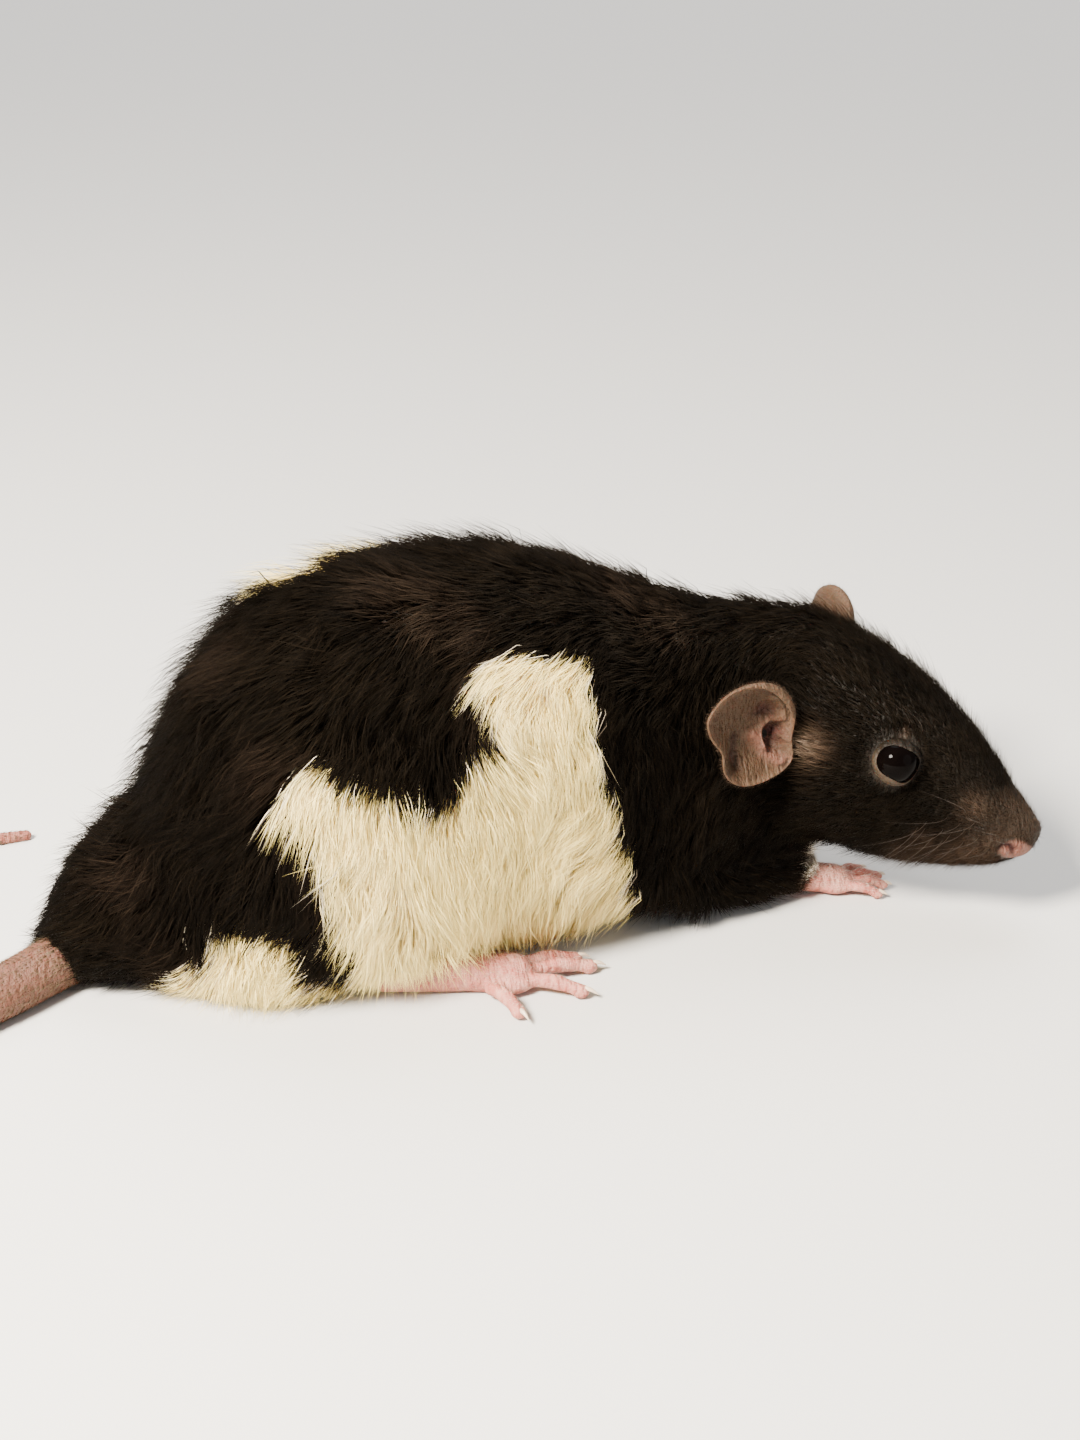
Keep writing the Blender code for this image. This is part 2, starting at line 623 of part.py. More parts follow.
def build():
    """Models the animal and returns its pieces by name."""
    frame = head_frame()
    floor = block("floor", (-300, -200, -60), (200, 200, 0))
    fine = fused(whole_body(frame), BODY_VOXEL, 8)
    coarse = thinned(copied(fine, "coarse"), BODY_TRIANGLES)
    thinned(fine, HEAD_TRIANGLES)
    cut(coarse, "DIFFERENCE", floor)
    pieces = {}

    def part(name, source, room, wider):
        """The piece of a body inside a room; the coarse body loses what the wider room holds."""
        pieces[name] = copied(source, name)
        cut(pieces[name], "INTERSECT", room)
        cut(coarse, "DIFFERENCE", wider)
        removed(room, wider)

    part("head", fine, head_room(0), head_room(GAP))
    for word, side in SIDES.items():
        part(f"arm_{word}", coarse, arm_room(side, 0), arm_room(side, GAP))
        part(f"thigh_{word}", coarse, thigh_room(side, 0), thigh_room(side, GAP))
    cuts = (-130, RUMP_TO, NECK_FROM, 130)
    for name, low, high in zip(("rump", "torso", "neck"), cuts, cuts[1:]):
        slab = block("slab", (low + GAP / 2, -80, -20), (high - GAP / 2, 80, 120))
        pieces[name] = cut(copied(coarse, name), "INTERSECT", slab)
        removed(slab)
    removed(fine, coarse)

    for word, side in SIDES.items():
        for name, limb_end, neighbours in (
                (f"hind_foot_{word}", hind_foot(side), (f"thigh_{word}", "torso", "rump")),
                (f"hand_{word}", hand(side), (f"arm_{word}", "neck"))):
            pieces[name] = cut(limb_end, "DIFFERENCE", floor)
            shield = grown(limb_end, GAP)
            for neighbour in neighbours:
                cut(pieces[neighbour], "DIFFERENCE", shield)
            removed(shield)

    for word, side in SIDES.items():
        pieces[f"eye_{word}"] = set_eye(pieces["head"], f"eye_{word}", side, frame)
    open_face(pieces["head"], frame)

    shields = [grown(pieces[name], GAP) for name in ("head", "neck")]
    for word in SIDES:
        pieces[f"ear_{word}"] = cut(ear(word, frame), "DIFFERENCE", *shields)
    removed(*shields)
    shield = grown(pieces["rump"], GAP)
    for length in tail_lengths():
        pieces[length.name] = cut(length, "DIFFERENCE", shield, floor)
    removed(shield, floor)
    return pieces


def finished(pieces):
    """Collects, names and colours the pieces, with the origin under the middle of the animal."""
    corners = np.concatenate([[corner.co for corner in obj.data.vertices]
                              for obj in pieces.values()])
    low, high = corners.min(axis=0), corners.max(axis=0)
    shift = Vector((-(low[0] + high[0]) / 2, -(low[1] + high[1]) / 2, -low[2]))
    for name, obj in pieces.items():
        workbench.objects.unlink(obj)
        rat.objects.link(obj)
        obj.name = name
        obj.data.name = name
        obj.data.transform(Matrix.Translation(shift))
        surface = next((SURFACE_OF[key] for key in SURFACE_OF if name.startswith(key)), "dark_coat")
        obj.data.materials.clear()
        obj.data.materials.append(material(surface))
        obj.data.shade_smooth()
        obj.data.set_sharp_from_angle(angle=math.radians(40))
    print("moved by", [round(step / MM, 3) for step in shift], "mm")


for startup_object in list(bpy.data.objects):
    removed(startup_object)
bpy.context.scene.collection.children.link(rat)
bpy.context.scene.collection.children.link(workbench)
finished(build())
bpy.data.collections.remove(workbench)
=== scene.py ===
# %% [markdown]
# # A dumbo rat
#
# A life-size crouching rat, made as a museum would show it. The solid model gives its form out to
# the tips of the fur. This file dresses it: one skin under the coat, the coat itself as a great
# many thin tufts, and the bare parts, which are the eyes, ears, nose, feet and tail.
# Every form is worked out in millimetres in the animal's own frame, where the spine runs along
# +X, its left is +Y and the floor is Z = 0.

# %% The solid model, which is a fixed frame for all that follows
import math

import bmesh
import bpy
import numpy as np
from mathutils import Euler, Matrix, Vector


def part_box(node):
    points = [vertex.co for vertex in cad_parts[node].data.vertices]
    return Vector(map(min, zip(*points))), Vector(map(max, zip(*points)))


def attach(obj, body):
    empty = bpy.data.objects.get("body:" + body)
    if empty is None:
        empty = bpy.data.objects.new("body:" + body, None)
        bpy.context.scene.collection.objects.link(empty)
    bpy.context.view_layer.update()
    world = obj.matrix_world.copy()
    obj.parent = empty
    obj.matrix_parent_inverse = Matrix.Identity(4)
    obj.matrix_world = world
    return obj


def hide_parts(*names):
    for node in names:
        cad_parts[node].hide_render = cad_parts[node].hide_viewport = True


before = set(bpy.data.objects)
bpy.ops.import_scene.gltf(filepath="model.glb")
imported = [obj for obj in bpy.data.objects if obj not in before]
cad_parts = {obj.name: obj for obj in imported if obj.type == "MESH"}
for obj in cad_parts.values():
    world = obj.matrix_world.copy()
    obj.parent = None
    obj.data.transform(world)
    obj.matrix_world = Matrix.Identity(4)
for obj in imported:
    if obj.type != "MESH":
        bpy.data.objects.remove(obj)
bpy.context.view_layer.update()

MM = 0.001
SIDES = {"left": 1, "right": -1}
rng = np.random.default_rng(7)
print("nodes:", ", ".join(sorted(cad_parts)))

# %% [markdown]
# The animal's own frame and the model's differ by a small step. The torso is a slab that is cut
# square to the spine, and its middle is 14 mm behind the frame's origin. The hind feet stand at
# equal distances from the spine, so the middle between them gives the step across. The head has
# a frame of its own, with its origin between the ears, +X towards the nose and +Z to the crown.

# %% Places
torso_low, torso_high = (np.array(corner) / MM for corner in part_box("torso"))
feet_low, feet_high = (np.array(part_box(f"hind_foot_{side}")).mean(axis=0) / MM for side in SIDES)
SHIFT = np.array([(torso_low[0] + torso_high[0]) / 2 + 14.0, (feet_low[1] + feet_high[1]) / 2, 0.0])

HEAD_AT = np.array([46.2, -8.9, 36.2])
HEAD_TURN = (-1.5, 24.0, -31.0)  # roll, drop of the nose and turn to the right, in degrees
HEAD_AXES = np.array(Euler([math.radians(angle) for angle in HEAD_TURN], "XYZ").to_matrix())


def to_frame(points):
    """Animal millimetres to the model's metres."""
    return (np.asarray(points) + SHIFT) * MM


def to_animal(points):
    """The model's metres to animal millimetres."""
    return np.asarray(points) / MM - SHIFT


def in_head(points):
    """Animal places seen from the head's own frame."""
    return (np.asarray(points) - HEAD_AT) @ HEAD_AXES


def from_head(points):
    """Places in the head's own frame, in the animal's."""
    return np.asarray(points) @ HEAD_AXES.T + HEAD_AT


def on_side(points, side):
    """Points of the left side, or their mirror image where side is -1."""
    return np.asarray(points, float) * [1, side, 1]


print("the spine's origin in the model, mm:", SHIFT.round(3))

# %% [markdown]
# A few formulas serve everywhere: an eased step between 0 and 1, a smooth curve through a few
# knots, and a gentle noise, which is a sum of waves that run in random directions.

# %% Formulas
def ease(value, start, end):
    """0 before start and 1 after end, by 3t^2 - 2t^3 between them."""
    t = np.clip((value - start) / (end - start), 0, 1)
    return t * t * (3 - 2 * t)


def unit(vectors):
    """Vectors over their own lengths."""
    return vectors / np.maximum(np.linalg.norm(vectors, axis=-1, keepdims=True), 1e-9)


def dot(a, b):
    """Row by row, how far a runs along b."""
    return (a * b).sum(axis=-1, keepdims=True)


def way_along(points):
    """How far each point of a path lies from its start, along the path."""
    return np.concatenate([[0], np.cumsum(np.linalg.norm(np.diff(points, axis=0), axis=1))])


def smooth_between(knots, values, at):
    """Values at places between the knots, on the cubic Hermite curve through them."""
    knots, values, at = (np.asarray(each, float) for each in (knots, values, at))
    slopes = np.gradient(values, knots, axis=0)
    low = np.clip(np.searchsorted(knots, at, side="right") - 1, 0, len(knots) - 2)
    span = knots[low + 1] - knots[low]
    t = (at - knots[low]) / span
    if values.ndim > 1:
        t, span = t[:, None], span[:, None]
    start = (2 * t**3 - 3 * t**2 + 1) * values[low] + (t**3 - 2 * t**2 + t) * span * slopes[low]
    end = (3 * t**2 - 2 * t**3) * values[low + 1] + (t**3 - t**2) * span * slopes[low + 1]
    return start + end


def waves(points, length, seed):
    """Noise of about -1 to 1: the sum of six sine waves of about this length, run at random."""
    draw = np.random.default_rng(seed)
    runs = unit(draw.normal(size=(6, 3))) * 2 * np.pi / (length * draw.uniform(0.7, 1.4, (6, 1)))
    return np.sin(points @ runs.T + draw.uniform(0, 2 * np.pi, 6)).sum(axis=1) / 2.6


def to_line(points, line):
    """Each point's distance to a line, and how far along the line its nearest place is."""
    line = np.asarray(line, float)
    starts, steps = line[:-1], np.diff(line, axis=0)
    share = np.clip(((points[:, None] - starts) * steps).sum(2) / (steps**2).sum(1), 0, 1)
    gaps = np.linalg.norm(points[:, None] - starts - share[..., None] * steps, axis=2)
    best = gaps.argmin(axis=1)
    rows = np.arange(len(points))
    return gaps[rows, best], (best + share[rows, best]) / len(steps)


print("noise from", waves(np.eye(3) * 40, 20, 1).round(2))

# %% [markdown]
# A piece is a mesh whose points and faces are whole arrays. Blender's operators would add its
# primitives one by one, while an array of points can hold any shape that has a formula. A piece
# rides on the animal's one body, and takes the place of the solids that it covers.

# %% Meshes from arrays
def mesh_of(name, points, faces):
    """A mesh from points in animal millimetres and arrays of three- or four-cornered faces."""
    sizes = np.concatenate([np.full(len(each), each.shape[1]) for each in faces])
    corners = np.concatenate([each.ravel() for each in faces])
    mesh = bpy.data.meshes.new(name)
    mesh.vertices.add(len(points))
    mesh.vertices.foreach_set("co", to_frame(points).ravel())
    mesh.loops.add(len(corners))
    mesh.loops.foreach_set("vertex_index", corners.astype(np.int32))
    mesh.polygons.add(len(sizes))
    mesh.polygons.foreach_set("loop_start", (np.cumsum(sizes) - sizes).astype(np.int32))
    mesh.update(calc_edges=True)
    mesh.shade_smooth()
    return mesh


def piece(mesh, finish, slot, *nodes):
    """A finished piece: it rides on the body and stands for these nodes of the solid model."""
    obj = bpy.data.objects.new(mesh.name, mesh)
    bpy.context.scene.collection.objects.link(obj)
    mesh.materials.clear()
    mesh.materials.append(finish)
    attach(obj, "root")
    if nodes:
        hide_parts(*nodes)
    print(f"{mesh.name}: {len(mesh.vertices)} points, {len(mesh.polygons)} faces")
    return obj


def mark(mesh, **shares):
    """Writes numbers on a mesh's points, for its finish to read."""
    for name, values in shares.items():
        layer = mesh.attributes.new(name, "FLOAT", "POINT")
        layer.data.foreach_set("value", np.asarray(values, np.float32))


def places(mesh):
    """A mesh's points, in animal millimetres."""
    points = np.empty(len(mesh.vertices) * 3, np.float32)
    mesh.vertices.foreach_get("co", points)
    return to_animal(points.reshape(-1, 3).astype(float))


def facing(mesh):
    """The way out of the surface at each of a mesh's points."""
    normals = np.empty(len(mesh.vertices) * 3, np.float32)
    mesh.vertex_normals.foreach_get("vector", normals)
    return normals.reshape(-1, 3).astype(float)


def move(mesh, points):
    """Puts a mesh's points at these places."""
    mesh.vertices.foreach_set("co", to_frame(points).ravel())
    mesh.update()


trial = mesh_of("trial", np.eye(3), [np.array([[0, 1, 2]])])
print("corners that run against the clock face outwards:", facing(trial)[0].round(2))
bpy.data.meshes.remove(trial)

# %% [markdown]
# Legs, toes, tail and whiskers are tubes along a path, and pads and eyes are ellipsoids. A curve
# with a bevel would make a tube too, but rings that are worked out here can have any radius and
# are closed at both ends, as a Boolean union needs.

# %% Tubes and ellipsoids
def grid(rows, columns):
    """The quads of a grid of points that runs round along its columns."""
    row = np.arange(rows - 1)[:, None] * columns
    near = np.arange(columns)[None]
    far = (near + 1) % columns
    quads = [row + near, row + far, row + columns + far, row + columns + near]
    return np.stack(quads, 2).reshape(-1, 4)


def closed(rings, start, end, flipped=False):
    """Rings of points as (rings, around, 3), closed by fans of triangles to a point at each end."""
    rows, columns = rings.shape[:2]
    here = np.arange(columns)
    near, far = (here, (here + 1) % columns)[::-1 if flipped else 1]
    last = (rows - 1) * columns
    first_fan = np.column_stack([far, near, np.full(columns, last + columns)])
    last_fan = np.column_stack([last + near, last + far, np.full(columns, last + columns + 1)])
    quads = grid(rows, columns)
    if flipped:
        quads = quads[:, ::-1]
    return np.vstack([rings.reshape(-1, 3), start, end]), [quads, first_fan, last_fan]


def tube(path, radii, sides, rounded=True):
    """A closed tube: rings of radius r(s) across a path, P(s) + r (side cos a + up sin a).

    Its tip is rounded by three more rings.
    """
    path, radii = np.asarray(path, float), np.asarray(radii, float)
    if rounded:
        heading = unit(path[-1] - path[-2])
        share = np.array([0.5, 0.87, 0.99])
        path = np.vstack([path, path[-1] + heading * radii[-1] * share[:, None]])
        radii = np.append(radii, radii[-1] * np.sqrt(1 - share**2))
    along = unit(np.gradient(path, axis=0))
    side = unit(np.cross([0.0, 0.0, 1.0], along))
    up = np.cross(along, side)
    angle = np.linspace(0, 2 * np.pi, sides, endpoint=False)[:, None]
    rings = path[:, None] + radii[:, None, None] * (
        side[:, None] * np.cos(angle) + up[:, None] * np.sin(angle))
    return closed(rings, path[0], path[-1])


def limb(points, radii, count, sides=16):
    """A tube along a smooth curve through a few points, of a radius that is smooth too."""
    points = np.asarray(points, float)
    along = way_along(points)
    at = np.linspace(0, along[-1], count)
    return tube(smooth_between(along, points, at), smooth_between(along, radii, at), sides)


def ball(centre, radii, rows=24, columns=32):
    """An ellipsoid: centre + radii * (sin v cos u, sin v sin u, cos v)."""
    v = np.linspace(0, np.pi, rows)[1:-1, None]
    u = np.linspace(0, 2 * np.pi, columns, endpoint=False)[None]
    shell = np.stack([np.sin(v) * np.cos(u), np.sin(v) * np.sin(u), np.cos(v) + 0 * u], 2)
    points, faces = closed(shell, (0, 0, 1), (0, 0, -1), flipped=True)
    return points * radii + centre, faces


def together(shapes):
    """Several shapes as one set of points and faces."""
    offset = np.cumsum([0] + [len(points) for points, _ in shapes])
    points = np.vstack([points for points, _ in shapes])
    faces = [face + start for (_, each), start in zip(shapes, offset) for face in each]
    return points, faces


print("a ball has", len(ball((0, 0, 0), (1, 1, 1))[0]), "points")

# %% [markdown]
# Where forms run into each other, a voxel remesh makes one skin of them, as clay does where two
# lumps are pressed together. It rounds off fine detail, so claws and lids come in after it.

# %% One form from several
def fused(name, shapes, voxel, smoothing):
    """Closed shapes that overlap, made one mesh by a voxel remesh and softened."""
    rough = bpy.data.objects.new(name, mesh_of(name, *together(shapes)))
    bpy.context.scene.collection.objects.link(rough)
    remesh = rough.modifiers.new("one skin", "REMESH")
    remesh.mode = "VOXEL"
    remesh.voxel_size = voxel * MM
    soften = rough.modifiers.new("soften", "SMOOTH")
    soften.factor = 0.5
    soften.iterations = smoothing
    graph = bpy.context.evaluated_depsgraph_get()
    mesh = bpy.data.meshes.new_from_object(rough.evaluated_get(graph))
    bpy.data.objects.remove(rough)
    mesh.name = name
    mesh.shade_smooth()
    return mesh


trial = fused("trial", [ball((0, 0, 0), (1, 1, 1)), ball((0, 0, 1.5), (1, 1, 1))], 0.2, 1)
print("two balls of 1 mm in radius, fused, are", np.ptp(places(trial)[:, 2]).round(2), "mm high")
bpy.data.meshes.remove(trial)

# %% [markdown]
# Finishes are node trees. `Signal` wraps a socket, so that a pattern is written as arithmetic and
# each operation adds its Math node. Every other node comes from `Signal.node`.

# %% Shader arithmetic
class Signal:
    """An output socket that can be used in sums, with numbers or with other signals."""

    def __init__(self, tree, socket):
        self.tree = tree
        self.socket = socket

    @staticmethod
    def node(tree, kind, settings=(), sockets=(), output=0):
        """A node of this kind: its settings first, then its sockets' values or signals."""
        made = tree.nodes.new(kind)
        for name, value in dict(settings).items():
            setattr(made, name, value)
        for name, value in dict(sockets).items():
            if isinstance(value, Signal):
                tree.links.new(value.socket, made.inputs[name])
            else:
                made.inputs[name].default_value = value
        return Signal(tree, made.outputs[output])

    def maths(self, operation, *others):
        """This signal and others through a Math node."""
        sockets = dict(enumerate((self, *others)))
        return Signal.node(self.tree, "ShaderNodeMath", {"operation": operation}, sockets)

    def __add__(self, other):
        return self.maths("ADD", other)

    def __mul__(self, other):
        return self.maths("MULTIPLY", other)

    def __sub__(self, other):
        return self.maths("SUBTRACT", other)

    def __rsub__(self, other):
        return (self * -1).maths("ADD", other)

    __radd__ = __add__
    __rmul__ = __mul__

    def clamped(self):
        """Held between 0 and 1."""
        return self.maths("MAXIMUM", 0.0).maths("MINIMUM", 1.0)


print("sums of signals make their own nodes")

# %% [markdown]
# A finish is one Principled shader. The shares that are marked on a mesh's points come in through
# Attribute nodes, so that skin and fur change colour at the same places, and no image is needed.

# %% Finishes
class Finish:
    """A Principled material that is being made."""

    def __init__(self, name, roughness, **plain):
        self.material = bpy.data.materials.new(name)
        self.material.use_nodes = True
        self.tree = self.material.node_tree
        self.shader = self.tree.nodes["Principled BSDF"]
        self.set("Roughness", roughness)
        for socket, value in plain.items():
            self.set(socket.replace("_", " "), value)

    def set(self, socket, value):
        """Gives a shader socket a constant or a signal."""
        if isinstance(value, Signal):
            self.tree.links.new(value.socket, self.shader.inputs[socket])
        else:
            self.shader.inputs[socket].default_value = value

    def marked(self, name):
        """A number that was written on the mesh's points."""
        return Signal.node(self.tree, "ShaderNodeAttribute", {"attribute_name": name}, output=2)

    def noise(self, scale, detail=2.0, stretch=(1, 1, 1)):
        """Noise on Object coordinates, of this many patches a metre."""
        place = Signal.node(self.tree, "ShaderNodeTexCoord", output=3)
        place = Signal.node(self.tree, "ShaderNodeMapping", sockets={0: place, 3: stretch})
        return Signal.node(self.tree, "ShaderNodeTexNoise", sockets={
            "Vector": place, "Scale": scale, "Detail": detail})

    def blend(self, factor, first, second):
        """From the first colour to the second as the factor runs from 0 to 1."""
        first, second = ((*each, 1) if isinstance(each, tuple) else each
                         for each in (first, second))
        return Signal.node(self.tree, "ShaderNodeMix", {"data_type": "RGBA"},
                           {0: factor, 6: first, 7: second}, output=2)

    def bump(self, height, depth):
        """Relief of this depth in millimetres."""
        self.set("Normal", Signal.node(self.tree, "ShaderNodeBump", sockets={
            "Distance": depth * MM, "Height": height}))


print("a finish blends colours by the marks on a mesh")

# %% [markdown]
# ## The coat's plan
#
# A rat's coat is short on the face and the feet and about 10 mm long on the back. It points away
# from the nose, lies flat over the head, falls down the flanks and runs down each leg. Skin and
# tufts share these plans, so that they always agree: the length of the hair, the way it lies, and
# the markings. Girth angles run from 0 over the spine through 90 on the right flank to 180 at the
# belly, and are negative on the left.

# %% Regions of the coat
ARM_PATH = ((20, 16.0, 10.0), (35, 13.5, 5.8), (47.5, 11.4, 4.2), (54, 11.6, 3.0))


def mirrored(points):
    """Places brought to the left side of their frame."""
    return np.column_stack([points[:, 0], abs(points[:, 1]), points[:, 2]])


def girth(points):
    """The angle round the body from the spine, in degrees, positive on the right side."""
    return np.degrees(np.arctan2(-points[:, 1], points[:, 2] - 30))


def head_share(points):
    """1 on the head and 0 on the body, eased over the nape and the throat."""
    seen = in_head(points)
    return ease(seen[:, 0], -13, 1) * ease(seen[:, 2], -27, -21)


def arm_share(points):
    """1 on the forearms and 0 away from them."""
    gap, _ = to_line(mirrored(points), ARM_PATH)
    return (1 - ease(gap, 6.5, 9.5)) * ease(points[:, 0], 22, 32)


def wrist_share(points):
    """1 at the wrists, where the coat ends in a pale cuff."""
    return arm_share(points) * ease(points[:, 0], 43, 52)


def shank_share(points):
    """1 on the lower hind legs and 0 away from them."""
    return ((1 - ease(points[:, 2], 9, 16)) * ease(abs(points[:, 1]), 10, 14)
            * (1 - ease(points[:, 0], -34, -22)))


print("the wrists begin at", ARM_PATH[2][0], "mm along the spine")

# %% [markdown]
# Combing a coat by hand would tie it to one mesh. As formulas of a place, its length and lie hold
# for any mesh, and where two regions meet, each passes gradually into the other. A gentle swirl
# keeps the hair from lying too evenly.

# %% Length and lie of the hair
HAIR_BODY = ((-93, -84, -68, -30, 5, 30, 50), (3.5, 6.5, 10.0, 10.0, 9.0, 7.5, 6.5))
HAIR_HEAD = ((-14, 0, 10, 20, 30, 36, 42, 46), (6.8, 5.4, 4.4, 3.6, 3.0, 2.3, 1.7, 1.2))
HAIR_ARM = ((24, 40, 50, 56), (6, 4, 2.4, 1.2))


def hair_length(points):
    """Length of the hair in millimetres."""
    head, arm, shank = head_share(points), arm_share(points), shank_share(points)
    body = np.interp(points[:, 0], *HAIR_BODY)
    body = body * (1 - 0.35 * ease(abs(girth(points)), 120, 150))
    heel = np.linalg.norm((mirrored(points) - (-31, 26, 5)) / (10, 8, 6), axis=1)
    body = body * (1 - 0.25 * shank) * (1 - 0.45 * (1 - ease(heel, 0.6, 1.2)))
    body = body * (1 - arm) + np.interp(points[:, 0], *HAIR_ARM) * arm
    return body * (1 - head) + np.interp(in_head(points)[:, 0], *HAIR_HEAD) * head


def lie(points, normals):
    """The way the hair lies at each point, along the skin."""
    lap = abs(girth(points))
    flank = ease(lap, 15, 60) * (1 - ease(lap, 125, 150))
    on_body = np.column_stack([-1 + 0.6 * flank, 0 * flank, -0.12 - 0.9 * flank])
    seen = in_head(points)
    on_head = np.column_stack([-1 + 0 * lap, 0.06 * seen[:, 1], 0.05 * seen[:, 2] - 0.1])
    on_head = on_head @ HEAD_AXES.T
    side = np.sign(points[:, 1])
    on_arm = np.column_stack([np.full(len(lap), 1.0), -0.1 * side, np.full(len(lap), -0.25)])
    head, arm = head_share(points)[:, None], arm_share(points)[:, None]
    way = unit(on_body) * (1 - head) + unit(on_head) * head
    way = way * (1 - arm) + unit(on_arm) * arm
    swirl = (0.3 * waves(points, 26, 3) + 0.26 * waves(points, 9, 4)) * (1 - 0.6 * head[:, 0])
    way = unit(way - normals * dot(way, normals))
    return way * np.cos(swirl)[:, None] + np.cross(normals, way) * np.sin(swirl)[:, None]


print("hair at the back, mm:", hair_length(np.array([[0.0, 0.0, 68.0]])).round(1))

# %% [markdown]
# The markings are closed outlines on the body's unrolled surface: the place along the spine, and
# the girth angle turned into millimetres. A point's distance to an outline, positive inside it,
# makes an edge that can be as soft as the fur.

# %% Outlines of the markings
GIRTH_MM = 0.52  # millimetres of girth to a degree
RIGHT_PATCH = ((-13.5, 36), (3.8, 37), (3.9, 58), (5.5, 85), (9.2, 118), (13, 143), (13, 190),
               (-41, 190), (-41, 127), (-45.4, 118), (-44.4, 108), (-45.2, 97), (-50, 86),
               (-54.5, 80), (-50.5, 71), (-44.8, 56), (-41, 68), (-32, 76.5), (-23.6, 79.5),
               (-19.5, 70), (-14.3, 65), (-17.4, 53), (-22, 49), (-15.7, 38))
SHANK_PATCH = ((-72.5, 147), (-69, 137), (-63, 129), (-57, 121), (-52, 117.5), (-49, 120),
               (-47.5, 129), (-43, 132), (-38, 133), (-38, 158), (-68, 160), (-73, 153))
SHANK_TOP = 13.0
LEFT_PATCH = ((-50, -12), (-38, -8), (-28, -22), (-14, -40), (6, -36), (12, -80), (14, -140),
              (14, -190), (-42, -190), (-46, -130), (-44, -80), (-48, -45))


def inside(points, outline):
    """Distance to a closed outline on the unrolled body, in millimetres, positive inside it."""
    corners = np.array(outline, float) * [1, GIRTH_MM]
    at = np.column_stack([points[:, 0], girth(points) * GIRTH_MM])
    gap, _ = to_line(at, np.vstack([corners, corners[:1]]))
    following = np.roll(corners, -1, axis=0)
    rises = (corners[:, 1] > at[:, 1:]) != (following[:, 1] > at[:, 1:])
    lean = (following[:, 0] - corners[:, 0]) / (following[:, 1] - corners[:, 1] + 1e-9)
    crossed = rises & (at[:, :1] < corners[:, 0] + lean * (at[:, 1:] - corners[:, 1]))
    return gap * np.where(crossed.sum(axis=1) % 2, 1, -1)


print("the middle of the back lies", inside(np.array([[0.0, 0, 60]]), RIGHT_PATCH).round(1),
      "mm inside the right patch")

# %% [markdown]
# Cream lies on the flanks, the lower hind legs and the wrists. The brown-black coat turns beige
# on the muzzle and chin, and in a few small places on the head.

# %% Cream and tan
# Lighter spots on the head: before the ear, over the eye and on the whisker pad.
TAN_SPOTS = (((3, 15, 0.5), 3.2, 1.0), ((16.5, 10.4, 9.8), 1.0, 0.6), ((33, 7.5, 2.3), 2.6, 0.4))


def pale_share(points):
    """1 where the coat is cream, 0 where it is brown-black."""
    flanks = np.maximum(inside(points, RIGHT_PATCH), inside(points, LEFT_PATCH))
    shank = np.minimum(inside(points, SHANK_PATCH), SHANK_TOP - points[:, 2])
    reach = np.maximum(flanks, shank) + 0.65 * waves(points, 5, 11)
    return np.maximum(ease(reach, 0.5, 1.9) * (1 - head_share(points)), wrist_share(points))


def tan_share(points):
    """1 on the beige muzzle and chin, less on the cheeks, and a little on the ruffled back."""
    seen = in_head(points)
    muzzle = ease(seen[:, 0] - 0.7 * seen[:, 2] + 2 * waves(points, 6, 13), 29, 46)
    spots = sum(strength * np.exp(-((mirrored(seen) - at) ** 2).sum(axis=1) / size**2)
                for at, size, strength in TAN_SPOTS)
    ring = np.linalg.norm(mirrored(seen) - (17.4, 12, 4.5), axis=1)
    ring = (1 - ease(ring, 4.3, 5.6)) * (0.2 + 0.8 * ease(-seen[:, 2], -6, 1))
    back = ease(waves(points, 24, 12), 0.3, 1.4) * 0.10 * (1 - head_share(points))
    return np.clip(muzzle * 0.55 + spots + ring * 0.3 + back + wrist_share(points), 0, 1)


print("cream on the right flank:", pale_share(np.array([[-20.0, -31.0, 25.0]])).round(2))

# %% [markdown]
# ## Feet, hands and claws
#
# A rat's hind foot is long and lies flat, with five toes, and its hand is small, with four
# fingers. Each is a few tubes and ellipsoids that a voxel remesh makes one form. A toe swells at
# its knuckle and ends in a small pad. The shapes are those of the left side, and the right side
# gets their mirror image, with its faces turned round so that they still look outwards.

# %% Toes, fingers and claws
FOOT_HEEL, FOOT_SPREAD = (-33.5, 25.0, 0.0), 11.0
SOLE_PATH, SOLE_RADII = ((0, 0, 4.6), (7, 0, 3.4), (15, 0, 2.9), (22, 0, 2.5)), (4.3, 3.5, 3.2, 3.5)
BALL = ((21, 0, 2.1), (5.3, 4.9, 2.4))
TOES = ((15.5, -3.4, 22.6, -6.8), (22.5, -3.2, 33.0, -6.0), (24.0, -1.0, 35.4, -3.4),
        (23.4, 1.4, 33.4, 4.4), (18.0, 3.4, 22.6, 10.2))
HAND_AT, HAND_SPREAD = (48.6, 11.5, 0.0), 4.0
WRIST_PATH, WRIST_RADII = ((-4.5, 0, 4.4), (-1.0, 0, 3.4), (4.0, 0, 2.4)), (3.1, 2.8, 2.7)
PALM = ((4.0, 0, 1.9), (4.1, 3.5, 2.0))
FINGERS = ((4.5, -2.3, 10.6, -4.8), (6.0, -0.9, 13.0, -1.8), (6.0, 0.9, 13.0, 1.6),
           (4.6, 2.3, 11.0, 4.6))


